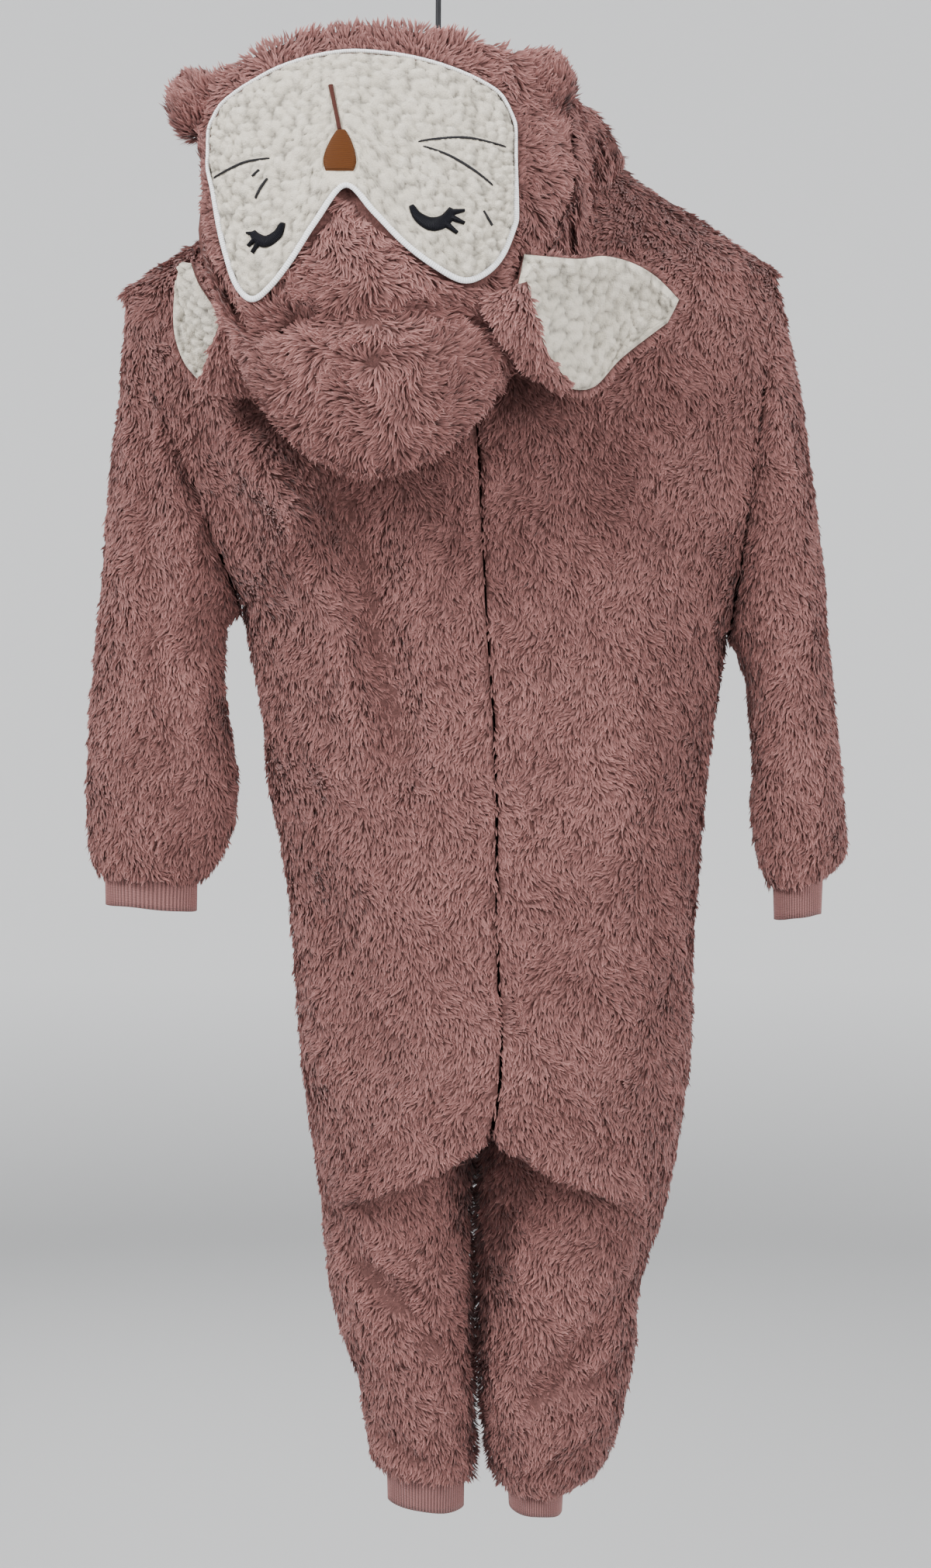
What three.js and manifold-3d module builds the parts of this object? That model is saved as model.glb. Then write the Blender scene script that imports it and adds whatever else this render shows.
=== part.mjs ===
// A child's hooded plush onesie with a bunny face and ears on its hood, hanging on a plain hanger.
// Units are millimetres, +Z is up, the garment's back faces -Y and its zipped front faces +Y.
// The origin is the crown of the hanger's hook, on the inner side of the wire, where a rail carries it.

import * as THREE from 'three';
import { mergeVertices } from 'three/addons/utils/BufferGeometryUtils.js';
import Module from 'manifold-3d';

const wasm = await Module();
wasm.setup();

// Driving sizes
const CLOTH = 6;            // plush wall, backing and pile together
const SEAM = 0.15;          // half of the gap between two sewn pieces
const GAP = 0.3;            // clearance between one piece and the piece laid on it
const NECK_GAP = 0.8;       // the hood's edge over the neckline, which it meets facet on facet
const HOOK_RISE = 30;       // the tables below count height from a line this far under the hook's crown
const ARMHOLE_DEPTH = 46;   // half of the armhole's width, front to back
const ARMHOLE_STEPS = 10;   // rows of a body panel along the armhole
const PANEL_STEPS = 9;      // columns of a body panel, centre seam to side seam
const CUFF_WALL = 2.2;      // rib knit under its ribs
const RIB_HEIGHT = 0.9;
const RIBS = 40;            // ribs round each cuff
const SHERPA = 3;           // pile fabric of the face and the ear linings
const STITCH = 1;           // raised satin stitch of eyes, nose and mouth
const ZIP_HALF = 4.5;       // half of the opening that the zip closes
const ZIP_END = -790;       // height where the zip stops
const CHAIN_SUNK = 2.6;     // how far the zip's chain lies under the pile beside it
const CHAIN_THICK = 2.8;
const SLIDER_GAP = 0.8;     // running room of the slider over the sloping chain

const FUR = { color: 0xa8736f, roughness: 0.95 };
const CREAM = { color: 0xe9e2d8, roughness: 0.95 };
const RIB_KNIT = { color: 0xb97f7c, roughness: 0.9 };

const D2R = Math.PI / 180;
const lerp = (a, b, t) => a + (b - a) * t;
const clamp = (v, lo, hi) => Math.min(hi, Math.max(lo, v));
const smooth = (v) => clamp(v, 0, 1) ** 2 * (3 - 2 * clamp(v, 0, 1));
const vec = (x, y, z) => new THREE.Vector3(x, y, z);

// Rows of a body panel from the neckline down to the ankle hem, one table for each side.
// cz, cx: height and place at the centre seam or inseam; oz, ox: at the shoulder, armhole or side seam;
// back, front: how far the cloth stands off the middle plane; bend: how the row's slope is spread;
// split: 0 where the panel ends at the centre seam, 1 where it closes round a leg; drop: lower front neck.
const COLUMNS = ['cz', 'cx', 'oz', 'ox', 'back', 'front', 'bend', 'split', 'drop'];
const named = (names, table) => table.map((row) => {
  const pairs = names.map((name, i) => [name, row[i]]);
  return Object.fromEntries(pairs);
});
const rows = (table) => named(COLUMNS, table);

const BODY = {
  left: {
    side: -1,
    shoulder: rows([
      [-196, 24, -172, -120, 56, 78, 1.6, 0, 40],
      [-212, 24, -194, -154, 68, 78.5, 1.5, 0, 30],
      [-232, 24, -220, -198, 78, 79, 1.3, 0, 20],
    ]),
    armholeTop: rows([[-256, 24, -250, -242, 86, 80, 1.1, 0, 12]])[0],
    armholeFoot: rows([[-505, 37, -495, -151, 97, 88, 1, 0, 0]])[0],
    lower: rows([
      [-548, 40, -538, -143, 96, 88, 1, 0, 0],
      [-590, 43, -584, -135, 94, 88, 1, 0, 0],
      [-632, 44, -631, -131, 93, 88, 1, 0, 0],
      [-680, 44, -679, -121, 94, 90, 1, 0, 0],
      [-728, 44, -730, -114, 98, 92, 1, 0, 0],
      [-776, 45, -782, -110, 104, 95, 1, 0, 0],
      [-822, 47, -834, -106, 109, 96, 1, 0, 0],
      [-860, 45, -884, -100, 113, 97, 0.9, 0, 0],
      [-882, 41, -922, -94, 112, 96, 0.8, 0, 0],
      [-893, 39, -942, -91, 105, 93, 0.7, 0.22, 0],
      [-894, 38.6, -951, -90, 90, 87, 0.7, 0.6, 0],
      [-890, 38.6, -961, -89, 74, 79, 0.8, 1, 0],
      [-914, 29, -986, -87, 67, 74, 1, 1, 0],
      [-960, 24, -1018, -83, 63, 68, 1, 1, 0],
      [-1012, 25.5, -1052, -75, 60, 62, 1, 1, 0],
      [-1062, 26, -1088, -62, 55, 57, 1, 1, 0],
      [-1110, 27, -1122, -57, 49, 51, 1, 1, 0],
      [-1146, 28, -1146, -52, 43, 43, 1, 1, 0],
      [-1164, 27, -1156, -47, 36, 36, 1, 1, 0],
    ]),
  },
  right: {
    side: 1,
    shoulder: rows([
      [-196, 24, -153, 138, 56, 78, 1.6, 0, 40],
      [-212, 24, -176, 170, 68, 78.5, 1.5, 0, 30],
      [-232, 24, -203, 212, 78, 79, 1.3, 0, 20],
    ]),
    armholeTop: rows([[-256, 24, -234, 259, 86, 80, 1.1, 0, 12]])[0],
    armholeFoot: rows([[-505, 37, -521, 222.6, 97, 88, 1, 0, 0]])[0],
    lower: rows([
      [-548, 40, -560, 216, 96, 88, 1, 0, 0],
      [-590, 43, -604, 210, 94, 88, 1, 0, 0],
      [-632, 44, -649, 205, 93, 88, 1, 0, 0],
      [-680, 44, -697, 201, 94, 90, 1, 0, 0],
      [-728, 44, -744, 197, 98, 92, 1, 0, 0],
      [-776, 45, -792, 196, 104, 95, 1, 0, 0],
      [-822, 47, -841, 194, 109, 96, 1, 0, 0],
      [-860, 45, -884, 188, 113, 97, 0.9, 0, 0],
      [-882, 41, -922, 182, 112, 96, 0.8, 0, 0],
      [-893, 39, -942, 178, 105, 93, 0.7, 0.22, 0],
      [-894, 38.6, -953, 175, 90, 87, 0.7, 0.6, 0],
      [-890, 38.6, -966, 172, 74, 79, 0.8, 1, 0],
      [-914, 33, -990, 163, 67, 74, 1, 1, 0],
      [-960, 30, -1024, 154, 65, 69, 1, 1, 0],
      [-1012, 30, -1062, 152, 63, 64, 1, 1, 0],
      [-1062, 31, -1100, 145, 60, 60, 1, 1, 0],
      [-1110, 34, -1136, 136, 57, 57, 1, 1, 0],
      [-1146, 39, -1160, 124, 51, 51, 1, 1, 0],
      [-1168, 46, -1174, 104, 42, 42, 1, 1, 0],
    ]),
  },
};

// Large folds of the body cloth: a soft trough or ridge from one point to the other.
const FOLDS = {
  back: [
    { x0: -122, z0: -401, x1: -49, z1: -593, width: 26, lift: 9 },
    { x0: -61, z0: -433, x1: -32, z1: -600, width: 20, lift: -14 },
    { x0: -177, z0: -336, x1: -114, z1: -438, width: 22, lift: 8 },
    { x0: -114, z0: -444, x1: -138, z1: -485, width: 16, lift: 6 },
    { x0: -170, z0: -385, x1: -146, z1: -440, width: 14, lift: -8 },
    { x0: -98, z0: -714, x1: -51, z1: -822, width: 22, lift: -8 },
    { x0: 27, z0: -800, x1: 30, z1: -830, width: 50, lift: -8 },
    { x0: 110, z0: -360, x1: 92, z1: -620, width: 30, lift: -5 },
    { x0: -79, z0: -965, x1: -4, z1: -1055, width: 12, lift: -6 },
    { x0: -54, z0: -1118, x1: -14, z1: -1146, width: 9, lift: -4 },
    { x0: 152, z0: -1008, x1: 84, z1: -1080, width: 12, lift: -7 },
    { x0: 75, z0: -1098, x1: 143, z1: -1072, width: 11, lift: -5 },
  ],
  front: [
    { x0: -130, z0: -330, x1: -60, z1: -560, width: 24, lift: -9 },
    { x0: 150, z0: -320, x1: 110, z1: -560, width: 26, lift: -8 },
    { x0: -80, z0: -700, x1: -50, z1: -840, width: 22, lift: -7 },
    { x0: 150, z0: -700, x1: 110, z1: -850, width: 22, lift: -6 },
    { x0: -72, z0: -985, x1: -10, z1: -1050, width: 12, lift: -6 },
    { x0: 148, z0: -1020, x1: 80, z1: -1085, width: 12, lift: -6 },
  ],
};

// Rings of a sleeve below its armhole. ox, oz: outer edge; ix, iz: inner edge; deep: half depth.
const SLEEVE_COLUMNS = ['ox', 'oz', 'ix', 'iz', 'deep'];
const rings = (table) => named(SLEEVE_COLUMNS, table);
const SLEEVES = {
  left: rings([
    [-244.8, -288, -151.2, -495.8, 52],
    [-249, -342, -152, -497, 54],
    [-255, -396, -153, -499, 52],
    [-260, -447, -155.5, -502.5, 47],
    [-265.8, -510, -162, -514, 42],
    [-270, -560, -163.5, -552, 38],
    [-273, -612, -155, -602, 36],
    [-273, -656, -154.5, -648, 34],
    [-271, -686, -165, -684, 29],
    [-264.8, -700, -179.2, -706, 23],
  ]),
  right: rings([
    [268.2, -264, 223.2, -521.8, 56],
    [277, -312, 224.5, -523.6, 61],
    [285, -360, 227, -527.4, 63],
    [292, -410, 230, -534, 63],
    [299, -480, 236.5, -552, 61],
    [304.5, -545, 240, -580, 59],
    [310, -603, 241, -615, 56],
    [315.5, -655, 239.5, -655, 51],
    [315, -686, 243.5, -688, 44],
    [304.2, -701, 251.8, -709, 38.4],
  ]),
};
// A crease that runs down each sleeve: turn round the ring in degrees at its two ends.
const SLEEVE_CREASES = {
  left: [
    { from: 0, to: 7, turn0: 48, turn1: 108, spread: 15, sink: 8 },
    { from: 3, to: 9, turn0: 285, turn1: 250, spread: 20, sink: 6 },
  ],
  right: [
    { from: 1, to: 6, turn0: 100, turn1: 80, spread: 20, sink: 5 },
    { from: 2, to: 8, turn0: 280, turn1: 250, spread: 20, sink: 6 },
  ],
};

// The hood, dropped down the back. Each spoke runs from the neckline over and down to its lowest point,
// back up past the seam between the ears and on to the rim of the face opening.
const SPOKE_COLUMNS = ['turn', 'sag', 'lx', 'ly', 'lz', 'mx', 'my', 'mz', 'rx', 'ry', 'rz'];
const SPOKES = named(SPOKE_COLUMNS, [
  [8, 0, 38, 80, -229, 37, 79, -223, 35, 76, -217],
  [30, 0, 81, 69, -204, 81, 66, -191, 80, 60, -179],
  [60, 0, 120, 34, -162, 116, 30, -150, 108, 22, -140],
  [90, 0, 134, -8, -146, 127, -14, -132, 114, -24, -120],
  [108, 0.4, 118, -62, -166, 110, -76, -148, 100, -74, -122],
  [122, 0.8, 95, -112, -262, 96, -138, -208, 90, -120, -125],
  [140, 1, 56, -140, -334, 54, -172, -298, 62, -150, -112],
  [160, 1, 12, -150, -386, 6, -198, -303, 12, -163, -101],
  [180, 1, -44, -154, -411, -44, -206, -305, -42, -166, -97],
  [200, 1, -96, -150, -390, -92, -202, -310, -92, -163, -101],
  [220, 1, -130, -142, -345, -128, -180, -312, -138, -152, -116],
  [238, 0.9, -156, -125, -276, -164, -150, -246, -174, -128, -136],
  [254, 0.5, -146, -76, -188, -158, -92, -168, -164, -84, -140],
  [270, 0, -126, -10, -164, -132, -18, -152, -132, -26, -138],
  [300, 0, -105, 34, -176, -103, 30, -163, -98, 22, -152],
  [330, 0, -53, 69, -207, -54, 67, -194, -55, 61, -183],
  [352, 0, 6, 80, -229, 7, 79, -223, 8, 76, -217],
]);
const FACE_BULGE = 9;       // how far the stuffed face stands out between its seam and its rim
const NECK_ROLL = { out: 18, up: 12 };    // the roll that the hood's nape makes where it turns over

// The cream face, column by column across the hood: its upper and lower edge.
const FACE = [
  { x: -160, top: -166, foot: -196 },
  { x: -155.5, top: -156, foot: -214 },
  { x: -151, top: -149, foot: -238 },
  { x: -146, top: -145, foot: -258 },
  { x: -138, top: -140, foot: -281 },
  { x: -126, top: -134, foot: -293 },
  { x: -113, top: -128, foot: -286 },
  { x: -99, top: -123.5, foot: -270 },
  { x: -82, top: -119.5, foot: -243 },
  { x: -62, top: -117, foot: -217 },
  { x: -42, top: -117.8, foot: -237 },
  { x: -22, top: -120.5, foot: -258 },
  { x: -2, top: -125, foot: -273 },
  { x: 18, top: -131.5, foot: -282 },
  { x: 34, top: -138.5, foot: -275 },
  { x: 46, top: -147, foot: -260 },
  { x: 55, top: -166, foot: -236 },
];
const EYES = {
  left: { x: -117, z: -245, radius: 13, from: 200, to: 345, lash: [195, 212, 230] },
  right: { x: 1, z: -226, radius: 20, from: 200, to: 338, lash: [338, 322, 308] },
};
const EYE_WIDTH = { ends: 1.6, middle: 3.4 };
const LASH = { start: 3.4, length: 6, width: 2 };
const NOSE = { x: -66, z: -194, width: 23, height: 27 };
const MOUTH = { x0: -71.5, z0: -147, x1: -67, z1: -178, width: 2.6 };

// Ears as sections across, from the root to the tip. a and b: the two edges; bow: the middle's sag.
const EAR_COLUMNS = ['ax', 'ay', 'az', 'bx', 'by', 'bz', 'bow'];
const ears = (table) => named(EAR_COLUMNS, table);
const EARS = {
  right: ears([
    [62, -173, -259, 57.2, -181, -284, 0],
    [79.7, -165, -258.5, 64.2, -177, -307, 6],
    [101.8, -153.5, -257.5, 75.5, -157.5, -330, 10],
    [119.8, -144, -253.5, 92, -136, -345, 12],
    [140, -134, -256, 113, -122, -344, 9],
    [158.5, -124, -264, 135, -114, -321, 6],
    [176, -116, -279, 168, -110, -295, 2],
  ]),
  left: ears([
    [-176, -132, -256, -183, -116, -252, 1],
    [-170, -138, -272, -189, -110, -266, 5],
    [-157.4, -138, -292, -192, -106, -286, 8],
    [-148.4, -133, -312, -191, -104, -305, 9],
    [-141.4, -128, -332, -184, -104, -324, 7],
    [-144, -120, -345, -172, -106, -338, 3],
  ]),
};

const HANGER = {
  neckZ: -112, right: { x: 236, z: -232.4 }, left: { x: -225, z: -253.6 },
  thick: 12, tall: 10, wire: 3.4, bend: 17,
};

// Wall building. A sheet is a grid of outer points with the same grid of inner points behind it.

// Closes the four edges of an open sheet, or the two ends of a closed ring, and gives one body.
function wall(outer, inner, closed = false) {
  const nRows = outer.length;
  const nCols = outer[0].length;
  const points = [...outer.flat(), ...inner.flat()];
  const at = (layer, i, j) => layer * nRows * nCols + i * nCols + (j % nCols);
  const faces = [];
  const quad = (a, b, c, d) => faces.push(a, b, c, a, c, d);
  const spanCols = closed ? nCols : nCols - 1;
  for (let i = 0; i < nRows - 1; i += 1) {
    for (let j = 0; j < spanCols; j += 1) {
      quad(at(0, i, j), at(0, i + 1, j), at(0, i + 1, j + 1), at(0, i, j + 1));
      quad(at(1, i, j), at(1, i, j + 1), at(1, i + 1, j + 1), at(1, i + 1, j));
    }
  }
  for (let j = 0; j < spanCols; j += 1) {
    quad(at(0, 0, j), at(0, 0, j + 1), at(1, 0, j + 1), at(1, 0, j));
    const last = nRows - 1;
    quad(at(0, last, j), at(1, last, j), at(1, last, j + 1), at(0, last, j + 1));
  }
  if (!closed) {
    for (let i = 0; i < nRows - 1; i += 1) {
      quad(at(0, i, 0), at(1, i, 0), at(1, i + 1, 0), at(0, i + 1, 0));
      const last = nCols - 1;
      quad(at(0, i, last), at(0, i + 1, last), at(1, i + 1, last), at(1, i, last));
    }
  }
  return solid(points, faces);
}

// A geometry from shared points, turned so that its faces point out.
function solid(points, faces) {
  const corner = (k) => points[faces[k]];
  let volume = 0;
  for (let k = 0; k < faces.length; k += 3) {
    volume += corner(k).dot(vec(0, 0, 0).crossVectors(corner(k + 1), corner(k + 2)));
  }
  if (volume < 0) {
    for (let k = 0; k < faces.length; k += 3) {
      [faces[k + 1], faces[k + 2]] = [faces[k + 2], faces[k + 1]];
    }
  }
  const geometry = new THREE.BufferGeometry();
  geometry.setAttribute('position', new THREE.Float32BufferAttribute(points.flatMap((p) => p.toArray()), 3));
  geometry.setIndex(faces);
  return geometry;
}

// Normal of a sheet at a grid point, from its neighbours.
function gridNormal(grid, i, j) {
  const up = grid[Math.max(i - 1, 0)][j];
  const down = grid[Math.min(i + 1, grid.length - 1)][j];
  const left = grid[i][Math.max(j - 1, 0)];
  const right = grid[i][Math.min(j + 1, grid[i].length - 1)];
  const along = vec(0, 0, 0).subVectors(down, up);
  const across = vec(0, 0, 0).subVectors(right, left);
  return along.cross(across).normalize();
}

const flatten = (n, axis) => n.addScaledVector(axis, -n.dot(axis)).normalize();
const X = vec(1, 0, 0);
const Y = vec(0, 1, 0);
const Z = vec(0, 0, 1);

// Body

// Height of a fold at one place of the cloth: a bell across the line, faded at both ends.
function foldAt(list, x, z) {
  let lift = 0;
  for (const fold of list) {
    const dx = fold.x1 - fold.x0;
    const dz = fold.z1 - fold.z0;
    const length = Math.hypot(dx, dz);
    const along = ((x - fold.x0) * dx + (z - fold.z0) * dz) / (length * length);
    const off = ((x - fold.x0) * dz - (z - fold.z0) * dx) / length;
    const past = Math.max(0, -along, along - 1) * length;
    lift += fold.lift * Math.exp(-((off / fold.width) ** 2) - (past / (1.4 * fold.width)) ** 2);
  }
  return lift;
}

function panelRows(body) {
  const { shoulder, armholeTop, armholeFoot, lower } = body;
  const list = shoulder.map((row) => ({ ...row, edge: 0, zone: 'shoulder' }));
  for (let k = 0; k <= ARMHOLE_STEPS; k += 1) {
    const turn = Math.PI * k / ARMHOLE_STEPS;
    const t = k / ARMHOLE_STEPS;
    const row = {};
    for (const name of COLUMNS) row[name] = lerp(armholeTop[name], armholeFoot[name], t);
    const s = (1 - Math.cos(turn)) / 2;
    row.ox = lerp(armholeTop.ox, armholeFoot.ox, s);
    row.oz = lerp(armholeTop.oz, armholeFoot.oz, s);
    row.edge = ARMHOLE_DEPTH * Math.sin(turn);
    row.zone = 'armhole';
    list.push(row);
  }
  return list.concat(lower.map((row) => ({ ...row, edge: 0, zone: 'side' })));
}

// Unit vector across the armhole, pointing from the body to the sleeve.
function armholeAxis(body) {
  const chord = vec(body.armholeTop.ox - body.armholeFoot.ox, 0, body.armholeTop.oz - body.armholeFoot.oz);
  const axis = vec(chord.z, 0, -chord.x).normalize();
  return axis.x * body.side > 0 ? axis : axis.negate();
}

// One point of a body panel: a quarter oval on the torso that closes to a half oval round the leg.
function bodyPoint(body, face, row, s) {
  const deep = face === 'back' ? row.back : row.front;
  const out = face === 'back' ? -1 : 1;
  const start = -90 * D2R * row.split;
  const end = row.edge > 1e-6 ? Math.acos(row.edge / deep) : 90 * D2R;
  const turn = lerp(start, end, s);
  const half = (row.ox - row.cx) / (Math.sin(end) - Math.sin(start));
  const x = row.cx + half * (Math.sin(turn) - Math.sin(start));
  const across = clamp((x - row.cx) / (row.ox - row.cx), 0, 1);
  const centreZ = row.cz - (face === 'front' ? row.drop : 0);
  const z = lerp(centreZ, row.oz, across ** row.bend);
  const fade = smooth(3 * (1 - s)) * (row.split > 0.5 ? smooth(4 * s) : 1);
  const calm = face === 'front' ? smooth((Math.abs(x - row.cx) - 10) / 40) : 1;
  const y = out * (deep * Math.cos(turn) + foldAt(FOLDS[face], x, z) * fade * calm);
  return vec(x, y, z);
}

function bodyPanel(body, face) {
  const list = panelRows(body);
  const out = face === 'back' ? -1 : 1;
  const axis = armholeAxis(body);
  const outer = list.map((row) => {
    const line = [];
    for (let j = 0; j <= PANEL_STEPS; j += 1) line.push(bodyPoint(body, face, row, j / PANEL_STEPS));
    return line;
  });
  const inner = outer.map((line, i) => line.map((point, j) => {
    const n = gridNormal(outer, i, j).multiplyScalar(-out * body.side);
    const row = list[i];
    if (i === 0 || i === outer.length - 1) flatten(n, Z);
    if (j === 0) {
      if (row.split < 1) flatten(n, X);
      else if (list[i - 1].split < 1) n.copy(Z).negate();
      else flatten(n, Y);
    }
    if (j === PANEL_STEPS) {
      if (row.zone === 'armhole') flatten(n, axis);
      if (row.edge < 1e-6) flatten(n, Y);
    }
    return point.clone().addScaledVector(n, -CLOTH);
  }));
  // Set the sewn edges back from the seam planes.
  const zipped = (row) => face === 'front' && row.cz > ZIP_END;
  for (const grid of [outer, inner]) {
    grid.forEach((line, i) => {
      const row = list[i];
      const middle = zipped(row) ? ZIP_HALF : SEAM;
      if (row.split < 1 || list[i - 1].split < 1) line[0].x = row.cx + body.side * middle;
      if (row.split === 1) line[0].y = out * SEAM;
      const edge = line[PANEL_STEPS];
      if (row.edge < 1e-6) edge.y = out * SEAM;
      if (row.zone === 'armhole') edge.addScaledVector(axis, -SEAM);
    });
  }
  return wall(outer, inner);
}

// Sleeves and cuffs

function sleeve(name) {
  const body = BODY[name];
  const { armholeTop: top, armholeFoot: foot } = body;
  const hole = { ox: top.ox, oz: top.oz, ix: foot.ox, iz: foot.oz, deep: ARMHOLE_DEPTH };
  const list = [hole, ...SLEEVES[name]];
  const axis = armholeAxis(body);
  const turns = 2 * ARMHOLE_STEPS;
  const grids = [0, CLOTH].map((inset) => list.map((ring, k) => {
    const centre = vec((ring.ox + ring.ix) / 2, 0, (ring.oz + ring.iz) / 2);
    const across = vec(ring.ox, 0, ring.oz).sub(centre);
    const half = across.length();
    const unit = across.clone().normalize();
    const line = [];
    for (let j = 0; j < turns; j += 1) {
      const turn = 2 * Math.PI * j / turns;
      let sink = 0;
      for (const crease of SLEEVE_CREASES[name]) {
        const t = (k - crease.from) / (crease.to - crease.from);
        const middle = lerp(crease.turn0, crease.turn1, clamp(t, 0, 1));
        const off = (turn / D2R - middle) / crease.spread;
        const fade = k > 0 ? smooth(2 - Math.abs(2 * t - 1) * 1.3) : 0;
        sink += crease.sink * Math.exp(-off * off) * fade;
      }
      const normal = vec(0, -Math.sin(turn) / ring.deep, 0);
      normal.addScaledVector(unit, Math.cos(turn) / half).normalize();
      const point = centre.clone().addScaledVector(unit, half * Math.cos(turn));
      point.y = -ring.deep * Math.sin(turn);
      point.addScaledVector(normal, -sink - inset);
      if (k === 0) point.addScaledVector(axis, SEAM);
      line.push(point);
    }
    return line;
  }));
  return wall(grids[0], grids[1], true);
}

// A rib knit cuff that hangs out of a hem: ribs outside, a plain tube inside.
function cuff(top, foot) {
  const outerSteps = 2 * RIBS;
  const innerSteps = RIBS / 2;
  const points = [];
  const faces = [];
  const ring = (end, steps, inset, rib) => {
    const first = points.length;
    for (let j = 0; j < steps; j += 1) {
      const turn = 2 * Math.PI * j / steps;
      const raise = rib && j % 2 === 0 ? 0 : -inset;
      const half = end.half + raise;
      const deep = end.deep + raise;
      const z = end.z + end.tilt * Math.cos(turn);
      points.push(vec(end.x + half * Math.cos(turn), deep * Math.sin(turn), z));
    }
    return first;
  };
  const band = (a, b, steps) => {
    for (let j = 0; j < steps; j += 1) {
      const k = (j + 1) % steps;
      faces.push(a + j, b + k, b + j, a + j, a + k, b + k);
    }
  };
  const rim = (outerFirst, innerFirst, flip) => {
    const each = outerSteps / innerSteps;
    for (let j = 0; j < outerSteps; j += 1) {
      const k = (j + 1) % outerSteps;
      const near = Math.floor(j / each);
      const triangle = [outerFirst + j, innerFirst + near, outerFirst + k];
      faces.push(...(flip ? triangle.reverse() : triangle));
      if (k % each === 0) {
        const next = (near + 1) % innerSteps;
        const closing = [outerFirst + k, innerFirst + near, innerFirst + next];
        faces.push(...(flip ? closing.reverse() : closing));
      }
    }
  };
  const outerTop = ring(top, outerSteps, RIB_HEIGHT, true);
  const outerFoot = ring(foot, outerSteps, RIB_HEIGHT, true);
  const innerTop = ring(top, innerSteps, RIB_HEIGHT + CUFF_WALL, false);
  const innerFoot = ring(foot, innerSteps, RIB_HEIGHT + CUFF_WALL, false);
  band(outerFoot, outerTop, outerSteps);
  band(innerTop, innerFoot, innerSteps);
  rim(outerTop, innerTop, true);
  rim(outerFoot, innerFoot, false);
  return solid(points, faces);
}

// A cuff fitted inside a hem given by its two edges and its half depth.
const CUFF_ROOM = 0.7;      // between the cuff's ribs and the faceted wall round them
const CUFF_TAPER = 1.5;     // how much narrower the cuff is at its free edge
function cuffIn(hem, rise, length) {
  const inset = CLOTH + CUFF_ROOM;
  const half = Math.abs(hem.ox - hem.ix) / 2 - inset;
  const tilt = (hem.ox > hem.ix ? 1 : -1) * (hem.oz - hem.iz) / 2 * half / (half + inset);
  const end = (z, flare) => ({
    x: (hem.ox + hem.ix) / 2, half: half + flare, deep: hem.deep - inset + flare, z, tilt,
  });
  const middle = (hem.oz + hem.iz) / 2;
  return cuff(end(middle + rise, 0), end(middle + rise - length, -CUFF_TAPER));
}

// Hood

const SPOKE_STOPS = 6;       // neckline, turn-over, far wall, lowest point, ear seam, face, rim
const EAR_SEAM = 4;
const NAPE = 1.5;
const ON_FACE = { place0: 4.75, place1: 11.25, t0: 3.2 };   // where on the hood its face can lie

// Smooth curve through a list of points at a fractional place.
function through(list, t) {
  const k = clamp(Math.floor(t), 0, list.length - 2);
  const u = t - k;
  const at = (i) => list[clamp(i, 0, list.length - 1)];
  const [a, b, c, d] = [at(k - 1), at(k), at(k + 1), at(k + 2)];
  const mix = (p, q, r, s) => 0.5 * (2 * q + (r - p) * u + (2 * p - 5 * q + 4 * r - s) * u * u
    + (3 * q - p - 3 * r + s) * u * u * u);
  if (typeof b === 'number') return mix(a, b, c, d);
  return vec(mix(a.x, b.x, c.x, d.x), mix(a.y, b.y, c.y, d.y), mix(a.z, b.z, c.z, d.z));
}

// Point of the neckline at an angle round the neck, 0 at the front and 90 on the right.
function neckPoint(turn) {
  const body = turn <= 180 ? BODY.right : BODY.left;
  const local = turn <= 180 ? turn : 360 - turn;
  const face = local > 90 ? 'back' : 'front';
  const s = local > 90 ? (180 - local) / 90 : local / 90;
  return bodyPoint(body, face, panelRows(body)[0], s);
}

function hoodPoint(place, t) {
  const value = (name) => through(SPOKES.map((spoke) => spoke[name]), place);
  const sag = value('sag');
  const neck = neckPoint(value('turn')).add(vec(0, 0, NECK_GAP));
  const low = vec(value('lx'), value('ly'), value('lz'));
  const seam = vec(value('mx'), value('my'), value('mz'));
  const rim = vec(value('rx'), value('ry'), value('rz'));
  const roll = vec(0, -NECK_ROLL.out * sag, NECK_ROLL.up * clamp(2.5 * sag, 0, 1));
  const over = neck.clone().lerp(low, 0.25 * (1 - sag)).add(roll);
  const far = neck.clone().lerp(low, 0.5);
  const face = seam.clone().lerp(rim, 0.5).add(vec(0, -FACE_BULGE * sag, 0));
  return through([neck, over, far, low, seam, face, rim], t);
}

function hoodNormal(place, t) {
  const step = 0.02;
  const last = SPOKES.length - 1;
  const from = Math.max(t - step, 0);
  const along = hoodPoint(place, Math.min(t + step, SPOKE_STOPS)).sub(hoodPoint(place, from));
  const before = Math.max(place - step, 0);
  const across = hoodPoint(Math.min(place + step, last), t).sub(hoodPoint(before, t));
  return along.cross(across).normalize();
}

function hoodPanel(stops, seamAt) {
  const columns = 2 * (SPOKES.length - 1);
  const outer = [];
  const inner = [];
  for (const t of stops) {
    const lineOut = [];
    const lineIn = [];
    for (let j = 0; j <= columns; j += 1) {
      const place = j / 2;
      const point = hoodPoint(place, t);
      const n = hoodNormal(place, t);
      // Near the neckline the inner side stays above the sewn edge.
      if (t <= NAPE) {
        const room = (point.z - hoodPoint(place, 0).z) / CLOTH;
        n.setZ(Math.min(n.z, Math.max(room - 0.05, 0))).normalize();
      }
      if (j === 0 || j === columns) flatten(n, X).x = 0;
      if (t === seamAt) {
        const pull = hoodPoint(place, t + (t === stops[0] ? 0.05 : -0.05)).sub(point).normalize();
        point.addScaledVector(pull, 1.4 * SEAM);
      }
      lineOut.push(point);
      lineIn.push(point.clone().addScaledVector(n, -CLOTH));
    }
    outer.push(lineOut);
    inner.push(lineIn);
  }
  return wall(outer, inner);
}

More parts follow.
